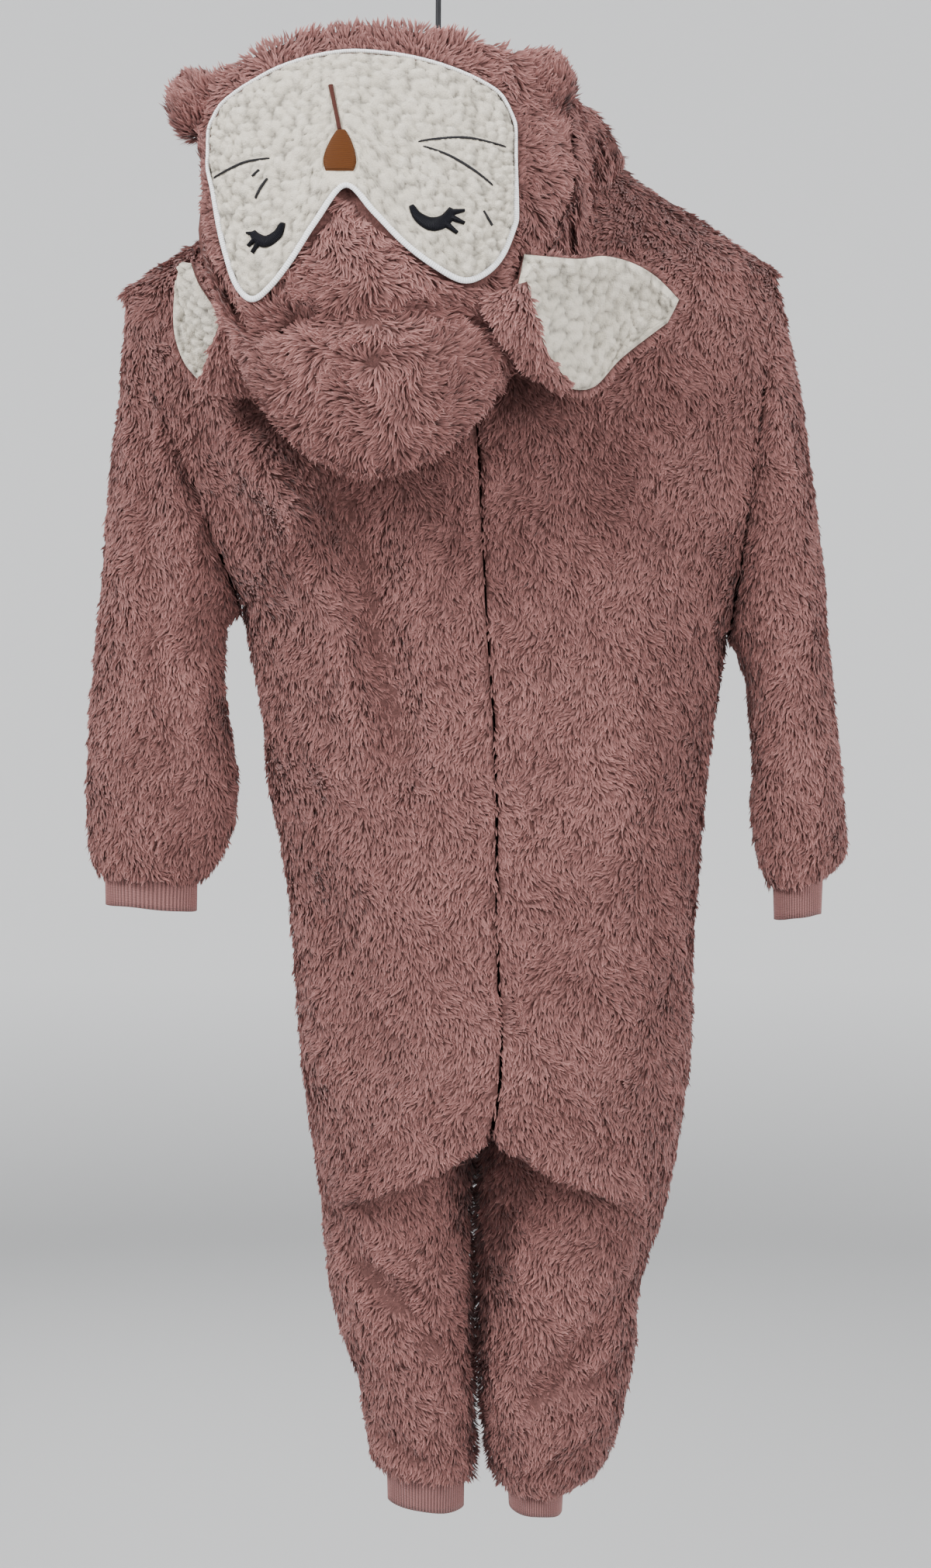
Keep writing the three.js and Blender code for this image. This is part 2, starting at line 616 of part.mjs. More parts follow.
// Finds the hood's point behind a place of the face, seen from the back, and its normal.
function onHood(x, z) {
  let best = { miss: Infinity };
  for (let place = ON_FACE.place0; place <= ON_FACE.place1; place += 0.25) {
    for (let t = ON_FACE.t0; t <= SPOKE_STOPS; t += 0.2) {
      const p = hoodPoint(place, t);
      const miss = Math.hypot(p.x - x, p.z - z);
      if (miss < best.miss) best = { miss, place, t };
    }
  }
  let { place, t } = best;
  const step = 0.01;
  for (let k = 0; k < 8; k += 1) {
    const p = hoodPoint(place, t);
    const dp = hoodPoint(place + step, t).sub(p).divideScalar(step);
    const dt = hoodPoint(place, t + step).sub(p).divideScalar(step);
    const det = dp.x * dt.z - dt.x * dp.z;
    place += ((x - p.x) * dt.z - (z - p.z) * dt.x) / det;
    t += ((z - p.z) * dp.x - (x - p.x) * dp.z) / det;
    t = clamp(t, 3, SPOKE_STOPS);
  }
  return { point: hoodPoint(place, t), normal: hoodNormal(place, t) };
}

// A layer that lies on the hood: a grid of places, its gap to the hood's cloth and its thickness.
function layer(places, gap, thick) {
  const grid = places.map((line) => line.map(([x, z]) => onHood(x, z)));
  const raise = (height) => grid.map((line) => line.map(({ point, normal }) => point.clone()
    .addScaledVector(normal, height)));
  return wall(raise(gap + thick), raise(gap));
}

const FACE_GAP = 0.9;       // the hood's facets stand this far off its true curve
function facePanel() {
  const steps = 7;
  const places = FACE.map(({ x, top, foot }) => {
    const line = [];
    for (let j = 0; j <= steps; j += 1) line.push([x, lerp(top, foot, j / steps)]);
    return line;
  });
  return layer(places, FACE_GAP, SHERPA);
}

// A band of stitches along an arc or a line, thin at both ends.
const STITCH_BASE = FACE_GAP + SHERPA + 2 * GAP;
function band(middle, width, steps) {
  const places = [];
  for (let k = 0; k <= steps; k += 1) {
    const s = k / steps;
    const [x, z] = middle(s);
    const [x1, z1] = middle(s + 0.01);
    const length = Math.hypot(x1 - x, z1 - z);
    const half = width(s) / 2;
    const nx = (z1 - z) / length * half;
    const nz = -(x1 - x) / length * half;
    places.push([[x - nx, z - nz], [x, z], [x + nx, z + nz]]);
  }
  return layer(places, STITCH_BASE, STITCH);
}

function closedEye(eye) {
  const arc = (s) => {
    const turn = lerp(eye.from, eye.to, s) * D2R;
    return [eye.x + eye.radius * Math.cos(turn), eye.z + eye.radius * Math.sin(turn)];
  };
  const width = (s) => EYE_WIDTH.ends + EYE_WIDTH.middle * Math.sin(Math.PI * clamp(s, 0, 1));
  return band(arc, width, 10);
}

function lashes(eye) {
  return eye.lash.map((turn) => {
    const line = (s) => {
      const reach = eye.radius + LASH.start + LASH.length * s;
      return [eye.x + reach * Math.cos(turn * D2R), eye.z + reach * Math.sin(turn * D2R)];
    };
    return band(line, (s) => LASH.width * (1 - 0.5 * s), 2);
  });
}

// A rounded triangle, narrow at its upper end, which is the nose's foot on the turned face.
function noseShape() {
  const middle = (s) => [NOSE.x + 0.6 * s, NOSE.z + NOSE.height * (0.5 - s)];
  const width = (s) => {
    const swell = Math.sin(0.62 * Math.PI * clamp(s, 0, 1) ** 1.7);
    return NOSE.width * (0.28 + 0.72 * swell) * (s > 0.93 ? 0.72 : 1);
  };
  return band(middle, width, 8);
}

function mouthLine() {
  const line = (s) => [lerp(MOUTH.x0, MOUTH.x1, s), lerp(MOUTH.z0, MOUTH.z1, s)];
  return band(line, () => MOUTH.width, 4);
}

// Ears: a fur back and a cream lining, laid together and bowed across.
function earLayers(table) {
  const across = 6;
  const line = (row) => {
    const points = [];
    for (let j = 0; j <= across; j += 1) {
      const s = j / across;
      const p = vec(row.ax, row.ay, row.az).lerp(vec(row.bx, row.by, row.bz), s);
      p.y += row.bow * Math.sin(Math.PI * s);
      points.push(p);
    }
    return points;
  };
  const grid = table.map(line);
  const flip = gridNormal(grid, 3, 3).y > 0 ? -1 : 1;
  const raised = (height) => grid.map((row, i) => row.map((p, j) => p.clone()
    .addScaledVector(gridNormal(grid, i, j), flip * height)));
  return {
    lining: wall(raised(SHERPA + GAP), raised(GAP)),
    back: wall(raised(0), raised(-SHERPA)),
  };
}

// Zip

const zipPlace = (z) => {
  const list = panelRows(BODY.right);
  const heights = list.map((row) => row.cz - row.drop);
  let k = 0;
  while (heights[k + 1] > z) k += 1;
  const t = (z - heights[k]) / (heights[k + 1] - heights[k]);
  const at = (row) => vec(row.cx, row.front, z);
  return at(list[k]).lerp(at(list[k + 1]), t);
};

function zipChain() {
  const list = panelRows(BODY.right).filter((row) => row.cz > ZIP_END);
  const half = ZIP_HALF - GAP;
  const outer = [];
  const inner = [];
  for (const row of list) {
    const z = row.cz - row.drop - 1;
    const middle = vec(row.cx, row.front, z);
    const ends = (sunk) => [-half, half].map((x) => middle.clone().add(vec(x, -sunk, 0)));
    outer.push(ends(CHAIN_SUNK));
    inner.push(ends(CHAIN_SUNK + CHAIN_THICK));
  }
  return wall(outer, inner);
}

const asManifold = (geometry) => {
  const bare = geometry.clone();
  bare.deleteAttribute('normal');
  bare.deleteAttribute('uv');
  const merged = mergeVertices(bare, 1e-4);
  const vertProperties = new Float32Array(merged.attributes.position.array);
  const triVerts = new Uint32Array(merged.index.array);
  return new wasm.Manifold(new wasm.Mesh({ numProp: 3, vertProperties, triVerts }));
};
const fromManifold = (body) => {
  const mesh = body.getMesh();
  const geometry = new THREE.BufferGeometry();
  geometry.setAttribute('position', new THREE.Float32BufferAttribute(mesh.vertProperties, 3));
  geometry.setIndex([...mesh.triVerts]);
  return geometry;
};

const SLIDER = { width: 8, length: 12, plate: 1.2, arch: 3, archInner: 2.6, archHalf: 2.6, bar: 1.2 };
const PULL = { width: 6.4, length: 22, thick: 1.2, eye: 6.6, eyeHalf: 2.1 };
const PIVOT_OUT = SLIDER.plate + SLIDER.archInner / 2;

// Outline in the zip's own plane: first coordinate across or out, second along the zip.
function extruded(shape, depth) {
  return new THREE.ExtrudeGeometry(shape, { depth, bevelEnabled: false, curveSegments: 4 });
}

function zipSlider() {
  const { width, length, plate, arch, archInner, archHalf, bar } = SLIDER;
  const outline = new THREE.Shape([
    new THREE.Vector2(-width / 2, length / 2), new THREE.Vector2(-width / 2 + 1.6, -length / 2),
    new THREE.Vector2(width / 2 - 1.6, -length / 2), new THREE.Vector2(width / 2, length / 2),
  ]);
  // Both outlines are laid so that their thickness out of the garment runs along +Y.
  const flat = asManifold(extruded(outline, plate))
    .transform([1, 0, 0, 0, 0, 0, 1, 0, 0, 1, 0, 0, 0, 0, 0, 1]);
  const profile = new THREE.Shape([
    new THREE.Vector2(plate / 2, -archHalf - bar), new THREE.Vector2(plate + archInner + bar, -archHalf),
    new THREE.Vector2(plate + archInner + bar, archHalf), new THREE.Vector2(plate / 2, archHalf + bar),
    new THREE.Vector2(plate / 2, archHalf), new THREE.Vector2(plate + archInner, archHalf),
    new THREE.Vector2(plate + archInner, -archHalf), new THREE.Vector2(plate / 2, -archHalf),
  ]);
  const bow = asManifold(extruded(profile, arch).translate(0, 0, -arch / 2))
    .transform([0, 1, 0, 0, 0, 0, 1, 0, 1, 0, 0, 0, 0, 0, 0, 1]);
  return fromManifold(flat.add(bow));
}

function zipPull() {
  const { width, length, thick, eye, eyeHalf } = PULL;
  const top = SLIDER.bar / 2;
  const shape = new THREE.Shape();
  shape.moveTo(-width / 2 + 0.8, top).lineTo(width / 2 - 0.8, top).lineTo(width / 2, top - 1.5);
  shape.lineTo(width / 2, -length + 2).lineTo(width / 2 - 2, -length).lineTo(-width / 2 + 2, -length);
  shape.lineTo(-width / 2, -length + 2).lineTo(-width / 2, top - 1.5).closePath();
  const hole = new THREE.Path();
  hole.moveTo(-eyeHalf, -top).lineTo(-eyeHalf, -top - eye).lineTo(eyeHalf, -top - eye).lineTo(eyeHalf, -top);
  hole.closePath();
  shape.holes.push(hole);
  return extruded(shape, thick).translate(0, 0, -thick / 2).rotateX(90 * D2R);
}

// Hanger

const NECK_TOP = 4;         // the arms' top over the line where they meet
function hangerArms() {
  const { neckZ, right, left, thick, tall } = HANGER;
  const shape = new THREE.Shape();
  shape.moveTo(-9, neckZ + NECK_TOP).lineTo(9, neckZ + NECK_TOP);
  shape.quadraticCurveTo(60, neckZ - 16, right.x, right.z + tall / 2);
  shape.lineTo(right.x + 3, right.z).lineTo(right.x - 2, right.z - tall / 2);
  shape.quadraticCurveTo(60, neckZ - 30, 0, neckZ - 12);
  shape.quadraticCurveTo(-60, neckZ - 54, left.x + 2, left.z - tall / 2);
  shape.lineTo(left.x - 3, left.z).lineTo(left.x, left.z + tall / 2);
  shape.quadraticCurveTo(-60, neckZ - 40, -9, neckZ + NECK_TOP);
  const bevel = 2;
  const geometry = new THREE.ExtrudeGeometry(shape, {
    depth: thick - 2 * bevel, bevelThickness: bevel, bevelSize: bevel, bevelOffset: -bevel, bevelSegments: 1,
    curveSegments: 8,
  });
  return geometry.translate(0, 0, -(thick / 2 - bevel)).rotateX(90 * D2R);
}

// Question-mark hook: a straight shank, a bend to one side and an arc over the rail.
function hangerHook() {
  const { neckZ, wire, bend } = HANGER;
  const radius = bend + wire / 2;
  const top = HOOK_RISE + wire / 2;
  const centreZ = top - radius;
  const path = new THREE.CurvePath();
  const points = [
    vec(0, 0, neckZ + NECK_TOP + GAP), vec(0, 0, centreZ - 38),
    vec(1.5, 0, centreZ - 30), vec(14, 0, centreZ - 17),
  ];
  for (let turn = -20; turn <= 190; turn += 15) {
    points.push(vec(radius * Math.cos(turn * D2R), 0, centreZ + radius * Math.sin(turn * D2R)));
  }
  path.add(new THREE.CatmullRomCurve3(points, false, 'centripetal'));
  const section = new THREE.Shape();
  for (let k = 0; k < 8; k += 1) {
    const turn = (k + 0.5) * Math.PI / 4;
    const place = [wire / 2 * Math.cos(turn), wire / 2 * Math.sin(turn)];
    if (k === 0) section.moveTo(...place);
    else section.lineTo(...place);
  }
  section.closePath();
  return new THREE.ExtrudeGeometry(section, { steps: 44, extrudePath: path, bevelEnabled: false });
}

// The assembled onesie

const garment = new THREE.Group();
const onesie = new THREE.Group();
onesie.position.z = -HOOK_RISE;
garment.add(onesie);

function add(name, geometry, { color, roughness, metalness = 0 }) {
  const mesh = new THREE.Mesh(geometry, new THREE.MeshStandardMaterial({ color, roughness, metalness }));
  mesh.name = name;
  onesie.add(mesh);
  return mesh;
}

const SLIDER_Z = -250;      // the slider is closed up under the neckline
const BLACK_THREAD = { color: 0x17171c, roughness: 0.5 };
const ZIP_METAL = { color: 0x9c8f8c, roughness: 0.35, metalness: 0.9 };
const CUFFS = {
  left: { sleeveRise: 14, sleeveLength: 38, ankleRise: 12, ankleLength: 38 },
  right: { sleeveRise: 14, sleeveLength: 42, ankleRise: 12, ankleLength: 30 },
};

for (const name of ['left', 'right']) {
  const body = BODY[name];
  add(`back_${name}`, bodyPanel(body, 'back'), FUR);
  add(`front_${name}`, bodyPanel(body, 'front'), FUR);
  add(`sleeve_${name}`, sleeve(name), FUR);
  const size = CUFFS[name];
  add(`wrist_cuff_${name}`, cuffIn(SLEEVES[name].at(-1), size.sleeveRise, size.sleeveLength), RIB_KNIT);
  const hem = body.lower.at(-1);
  const ankle = { ox: hem.ox, oz: hem.oz, ix: hem.cx, iz: hem.cz, deep: Math.min(hem.back, hem.front) };
  add(`ankle_cuff_${name}`, cuffIn(ankle, size.ankleRise, size.ankleLength), RIB_KNIT);
  const { lining, back } = earLayers(EARS[name]);
  add(`ear_lining_${name}`, lining, CREAM);
  add(`ear_back_${name}`, back, FUR);
  const eye = EYES[name];
  add(`eye_${name}`, closedEye(eye), BLACK_THREAD);
  lashes(eye).forEach((lash, k) => add(`lash_${name}_${k + 1}`, lash, BLACK_THREAD));
}

add('hood_back', hoodPanel([0, 0.5, 1, NAPE, 2, 2.5, 2.8, 3, 3.2, 3.6, EAR_SEAM], EAR_SEAM), FUR);
add('hood_front', hoodPanel([EAR_SEAM, 4.5, 5, 5.5, SPOKE_STOPS], EAR_SEAM), FUR);
add('face', facePanel(), CREAM);
add('nose', noseShape(), { color: 0x7a3f22, roughness: 0.6 });
add('mouth', mouthLine(), { color: 0x5a2f26, roughness: 0.6 });

add('zip_chain', zipChain(), { color: 0xb07a78, roughness: 0.6 });
const seat = zipPlace(SLIDER_Z).add(vec(0, -CHAIN_SUNK + SLIDER_GAP, 0));
const slider = add('zip_slider', zipSlider(), ZIP_METAL);
slider.position.copy(seat);
const pull = add('zip_pull', zipPull(), ZIP_METAL);
pull.position.copy(seat).add(vec(0, PIVOT_OUT, 0));

add('hanger_arms', hangerArms(), { color: 0x141416, roughness: 0.45 });
add('hanger_hook', hangerHook(), { color: 0x141416, roughness: 0.35, metalness: 0.6 });

export default garment;
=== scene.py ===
"""A child's hooded plush onesie with a sleeping bunny face on its hood, hanging on a plain hanger.

The garment's back faces -Y with the hood dropped down it, and its zipped front faces +Y. Every cloth is a
function of two parameters, worked out on a grid with numpy. Plush is a thin cloth with pointed locks of
pile planted on it, and sherpa is a cloth raised in rounded knobs.
"""

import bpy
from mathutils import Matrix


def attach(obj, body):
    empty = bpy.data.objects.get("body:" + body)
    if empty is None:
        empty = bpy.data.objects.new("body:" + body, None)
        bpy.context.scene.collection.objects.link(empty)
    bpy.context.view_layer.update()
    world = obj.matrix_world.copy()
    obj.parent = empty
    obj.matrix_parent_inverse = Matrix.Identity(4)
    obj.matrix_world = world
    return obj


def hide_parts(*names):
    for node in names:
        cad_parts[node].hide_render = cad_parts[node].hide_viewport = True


bl_info = {
    "name": "Bunny Onesie",
    "version": (1, 0, 0),
    "blender": (4, 5, 0),
    "location": "View3D > Sidebar > Onesie",
    "description": "Dresses a plush bunny onesie on its hanger",
    "category": "Mesh",
}

import math

import bpy
import numpy as np
from bpy.props import FloatProperty, FloatVectorProperty, PointerProperty
from mathutils import Vector

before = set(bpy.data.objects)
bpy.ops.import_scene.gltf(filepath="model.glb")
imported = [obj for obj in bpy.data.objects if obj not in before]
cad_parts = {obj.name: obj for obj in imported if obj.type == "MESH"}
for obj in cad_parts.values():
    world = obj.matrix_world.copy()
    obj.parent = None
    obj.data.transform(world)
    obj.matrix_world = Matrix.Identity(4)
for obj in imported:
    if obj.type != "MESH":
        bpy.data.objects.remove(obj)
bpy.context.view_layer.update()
BODY = "garment"

# Cutting sizes in millimetres, as a maker writes them. Heights count from a line HOOK_RISE under the
# inside of the hook's crown, and put_in_frame turns them into the frame's metres.
MM = 0.001
HOOK_RISE = 30
CLOTH = 6
PILE = 3.6
BACKING = 1.8
THIN_BACKING = 1.6
SEAM_DEPTH = 1.2
ARMHOLE_DEPTH = 46
ARMHOLE_STEPS = 10
FOLD_GAIN = 1.8
CREASE_GAIN = 1.6
NECK_GAP = 0.8
NECK_ROLL = (18, 12)
FACE_BULGE = 9
SEAM_SINK = 9
SHERPA = 3
FACE_GAP = 0.9
KNOB, SMALL_KNOB = 6.6, 2.8
KNOB_REACH = 0.64
KNOB_SPOTS = 64
STITCH_SINK = 1.6
STITCH_FOOT = 2.4
ZIP_START = -238
ZIP_END = -790
ZIP_FLAT = 10
ZIP_CLEAR = 4.6

# Small step along a surface's parameters, to find its slopes.
STEP = 0.01

# Rows and columns of the grid of each cloth.
GRIDS = {
    "body": (136, 36),
    "sleeve": (52, 53),
    "hood_back": (110, 52),
    "hood_front": (110, 30),
    "face": (188, 118),
    "ear_right": (109, 57),
    "ear_left": (77, 33),
    "ear_edge": (36, 12),
    "rim_roll": (20, 32),
    "zip_tape": (140, 5),
}

# First seed of the random numbers of each kind of piece.
SEEDS = {"body": 100, "sleeve": 200, "cuff": 300, "hood": 400, "roll": 410, "side": 420, "ear": 500}

# Rows of a body panel from the neckline to the ankle hem. Columns: height and place at the centre seam or
# inseam, height and place at the outer edge, depth of back and front, bend of the row, split (1 round a
# leg), the drop of the front neck, and half the depth of the armhole, which body_rows adds.
CZ, CX, OZ, OX, BACK, FRONT, BEND, SPLIT, DROP, EDGE = range(10)
SHOULDER = {
    "left": [
        [-196, 24, -172, -120, 56, 78, 1.6, 0, 40],
        [-212, 24, -194, -154, 68, 78.5, 1.5, 0, 30],
        [-232, 24, -220, -198, 78, 79, 1.3, 0, 20],
    ],
    "right": [
        [-196, 24, -153, 138, 56, 78, 1.6, 0, 40],
        [-212, 24, -176, 170, 68, 78.5, 1.5, 0, 30],
        [-232, 24, -203, 212, 78, 79, 1.3, 0, 20],
    ],
}
ARMHOLE = {
    "left": [[-256, 24, -250, -242, 86, 80, 1.1, 0, 12], [-505, 37, -495, -151, 97, 88, 1, 0, 0]],
    "right": [[-256, 24, -234, 259, 86, 80, 1.1, 0, 12], [-505, 37, -521, 222.6, 97, 88, 1, 0, 0]],
}
LOWER = {
    "left": [
        [-548, 40, -538, -143, 96, 88, 1, 0, 0],
        [-590, 43, -584, -135, 94, 88, 1, 0, 0],
        [-632, 44, -631, -131, 93, 88, 1, 0, 0],
        [-680, 44, -679, -121, 94, 90, 1, 0, 0],
        [-728, 44, -730, -114, 98, 92, 1, 0, 0],
        [-776, 45, -782, -110, 104, 95, 1, 0, 0],
        [-822, 47, -834, -106, 109, 96, 1, 0, 0],
        [-860, 45, -884, -100, 113, 97, 0.9, 0, 0],
        [-882, 41, -922, -94, 112, 96, 0.8, 0, 0],
        [-893, 39, -942, -91, 105, 93, 0.7, 0.22, 0],
        [-894, 38.6, -951, -90, 90, 87, 0.7, 0.6, 0],
        [-890, 38.6, -961, -89, 74, 79, 0.8, 1, 0],
        [-914, 29, -986, -87, 67, 74, 1, 1, 0],
        [-960, 24, -1018, -83, 63, 68, 1, 1, 0],
        [-1012, 25.5, -1052, -75, 60, 62, 1, 1, 0],
        [-1062, 26, -1088, -62, 55, 57, 1, 1, 0],
        [-1110, 27, -1122, -57, 49, 51, 1, 1, 0],
        [-1146, 28, -1146, -52, 43, 43, 1, 1, 0],
        [-1164, 27, -1156, -47, 36, 36, 1, 1, 0],
    ],
    "right": [
        [-548, 40, -560, 216, 96, 88, 1, 0, 0],
        [-590, 43, -604, 210, 94, 88, 1, 0, 0],
        [-632, 44, -649, 205, 93, 88, 1, 0, 0],
        [-680, 44, -697, 201, 94, 90, 1, 0, 0],
        [-728, 44, -744, 197, 98, 92, 1, 0, 0],
        [-776, 45, -792, 196, 104, 95, 1, 0, 0],
        [-822, 47, -841, 194, 109, 96, 1, 0, 0],
        [-860, 45, -884, 188, 113, 97, 0.9, 0, 0],
        [-882, 41, -922, 182, 112, 96, 0.8, 0, 0],
        [-893, 39, -942, 178, 105, 93, 0.7, 0.22, 0],
        [-894, 38.6, -953, 175, 90, 87, 0.7, 0.6, 0],
        [-890, 38.6, -966, 172, 74, 79, 0.8, 1, 0],
        [-914, 33, -990, 163, 67, 74, 1, 1, 0],
        [-960, 30, -1024, 154, 65, 69, 1, 1, 0],
        [-1012, 30, -1062, 152, 63, 64, 1, 1, 0],
        [-1062, 31, -1100, 145, 60, 60, 1, 1, 0],
        [-1110, 34, -1136, 136, 57, 57, 1, 1, 0],
        [-1146, 39, -1160, 124, 51, 51, 1, 1, 0],
        [-1168, 46, -1174, 104, 42, 42, 1, 1, 0],
    ],
}

# Folds of the body cloth: from and to points seen from the back, width, and lift (negative is a trough).
FOLDS = {
    "back": [
        [-122, -401, -49, -593, 26, 9],
        [-61, -433, -32, -600, 20, -14],
        [-177, -336, -114, -438, 22, 8],
        [-114, -444, -138, -485, 16, 6],
        [-170, -385, -146, -440, 14, -8],
        [-98, -714, -51, -822, 22, -8],
        [27, -800, 30, -830, 50, -8],
        [110, -360, 92, -620, 30, -5],
        [-79, -965, -4, -1055, 12, -6],
        [-54, -1118, -14, -1146, 9, -4],
        [152, -1008, 84, -1080, 12, -7],
        [75, -1098, 143, -1072, 11, -5],
    ],
    "front": [
        [-130, -330, -60, -560, 24, -9],
        [150, -320, 110, -560, 26, -8],
        [-80, -700, -50, -840, 22, -7],
        [150, -700, 110, -850, 22, -6],
        [-72, -985, -10, -1050, 12, -6],
        [148, -1020, 80, -1085, 12, -6],
    ],
}
# Finer creases that the plush shows between its large folds.
CREASES = {
    "back": [
        [-140, -520, -96, -640, 9, -3.5],
        [-20, -470, -8, -640, 12, 3],
        [60, -420, 52, -600, 16, -2.5],
        [150, -420, 140, -700, 18, 2.5],
        [-100, -600, -60, -700, 14, 3],
        [0, -850, -60, -905, 9, 3],
        [80, -850, 150, -900, 10, 3],
        [-50, -985, 6, -1010, 7, 3],
        [60, -960, 60, -1060, 10, 3],
        [130, -1110, 70, -1140, 8, 3],
    ],
    "front": [
        [-60, -420, -20, -640, 12, 3],
        [100, -420, 70, -640, 12, 3],
        [-60, -900, -20, -960, 10, -3],
        [130, -900, 90, -980, 10, -3],
    ],
}

# Rings of a sleeve from the armhole to the hem: outer edge, inner edge, half depth.
SLEEVES = {
    "left": [
        [-242, -250, -151, -495, ARMHOLE_DEPTH],
        [-244.8, -288, -151.2, -495.8, 52],
        [-249, -342, -152, -497, 54],
        [-255, -396, -153, -499, 52],
        [-260, -447, -155.5, -502.5, 47],
        [-265.8, -510, -162, -514, 42],
        [-270, -560, -163.5, -552, 38],
        [-273, -612, -155, -602, 36],
        [-273, -656, -154.5, -648, 34],
        [-271, -686, -165, -684, 29],
        [-264.8, -700, -179.2, -706, 23],
    ],
    "right": [
        [259, -234, 222.6, -521, ARMHOLE_DEPTH],
        [268.2, -264, 223.2, -521.8, 56],
        [277, -312, 224.5, -523.6, 61],
        [285, -360, 227, -527.4, 63],
        [292, -410, 230, -534, 63],
        [299, -480, 236.5, -552, 61],
        [304.5, -545, 240, -580, 59],
        [310, -603, 241, -615, 56],
        [315.5, -655, 239.5, -655, 51],
        [315, -686, 243.5, -688, 44],
        [304.2, -701, 251.8, -709, 38.4],
    ],
}
# Creases down a sleeve: from ring, to ring, turn at both ends in degrees, spread, sink.
SLEEVE_CREASES = {
    "left": [[0, 7, 48, 108, 15, 8], [3, 9, 285, 250, 20, 6]],
    "right": [[1, 6, 100, 80, 20, 5], [2, 8, 280, 250, 20, 6]],
}

# Spokes of the dropped hood round the neck: turn in degrees, sag (1 where the hood hangs free), then the
# lowest point, a point of the ear seam and one of the rim.
SPOKES = [
    [8, 0, 38, 80, -229, 37, 79, -223, 35, 76, -217],
    [30, 0, 81, 69, -204, 81, 66, -191, 80, 60, -179],
    [60, 0, 120, 34, -162, 116, 30, -150, 108, 22, -140],
    [90, 0, 134, -8, -146, 127, -14, -132, 114, -24, -120],
    [108, 0.4, 118, -62, -166, 110, -76, -148, 100, -74, -122],
    [122, 0.8, 95, -112, -262, 96, -138, -208, 90, -120, -125],
    [140, 1, 56, -140, -334, 54, -172, -298, 62, -150, -112],
    [160, 1, 12, -150, -386, 6, -198, -303, 12, -163, -101],
    [180, 1, -44, -154, -411, -44, -206, -305, -42, -166, -97],
    [200, 1, -96, -150, -390, -92, -202, -310, -92, -163, -101],
    [220, 1, -130, -142, -345, -128, -180, -312, -138, -152, -116],
    [238, 0.9, -156, -125, -276, -164, -150, -246, -174, -128, -136],
    [254, 0.5, -146, -76, -188, -158, -92, -168, -164, -84, -140],
    [270, 0, -126, -10, -164, -132, -18, -152, -132, -26, -138],
    [300, 0, -105, 34, -176, -103, 30, -163, -98, 22, -152],
    [330, 0, -53, 69, -207, -54, 67, -194, -55, 61, -183],
    [352, 0, 6, 80, -229, 7, 79, -223, 8, 76, -217],
]
# Stops along a spoke at which the ear seam and the rim lie.
EAR_SEAM, RIM = 4, 6
# Creases pressed in at one side of the hood: spoke and sink.
SIDE_CREASES = ((4.05, 5), (3.45, 4))
# Points from which the pile of the hood is brushed away.
CROWN = (-44.0, -150.0, -335.0)
FACE_MIDDLE = (-55.0, -150.0, -195.0)

# The cream face across the hood: place, upper edge, lower edge.
FACE = [
    [-160, -166, -196],
    [-155.5, -156, -214],
    [-151, -149, -238],
    [-146, -145, -258],
    [-138, -140, -281],
    [-126, -134, -293],
    [-113, -128, -286],
    [-99, -123.5, -270],
    [-82, -119.5, -243],
    [-62, -117, -217],
    [-42, -117.8, -237],
    [-22, -120.5, -258],
    [-2, -125, -273],
    [18, -131.5, -282],
    [34, -138.5, -275],
    [46, -147, -260],
    [55, -166, -236],
]
# Strokes of satin stitch on the face: points from end to end, and the width at each.
EYE_STROKES = {
    "left": [
        [[-103.7, -242.5, 3], [-107.5, -250.5, 6.6], [-115.5, -254.5, 8], [-122, -251, 7], [-125.5, -246, 4]],
        [[-123, -248, 4], [-129.5, -246.5, 1.6]],
        [[-122, -250.5, 4], [-128.5, -256, 1.6]],
        [[-119, -252.5, 4], [-125.5, -261, 1.6]],
    ],
    "right": [
        [[-17, -232, 3.4], [-12.5, -240, 6.6], [-3.5, -245, 9.4], [5.5, -242, 8.6], [11, -233, 5]],
        [[9, -236, 5], [18.9, -233.5, 2]],
        [[9, -239, 5], [18.9, -242.7, 1.8]],
        [[5, -243, 5], [14, -250.2, 1.8]],
    ],
}
NOSE_STROKE = [[-65, -177, 5], [-65.2, -184, 13], [-65.5, -193, 20], [-65.8, -201, 22.5], [-66, -207, 19]]
MOUTH_STROKE = [[-73, -143, 3.4], [-70, -158, 2.8], [-66, -178, 3]]
WHISKERS = [
    [[-155, -203.8, 0.8], [-134.1, -195.7, 1.3], [-114.3, -194.7, 0.8]],
    [[-126.6, -206.4, 0.8], [-121.4, -202.2, 1.2]],
    [[-124, -222.5, 0.8], [-120, -215, 1.3], [-115.4, -209.1, 0.8]],
    [[-12.2, -185.6, 0.8], [1.7, -182.9, 1.3], [22.6, -180.8, 1.3], [48, -184.5, 0.8]],
    [[-9, -188.8, 0.8], [8.7, -194.7, 1.3], [26.3, -204.3, 1.3], [38.7, -213.4, 0.8]],
    [[32, -232, 0.8], [38, -242, 1.2]],
]
STROKES = EYE_STROKES["left"] + EYE_STROKES["right"] + [NOSE_STROKE, MOUTH_STROKE] + WHISKERS

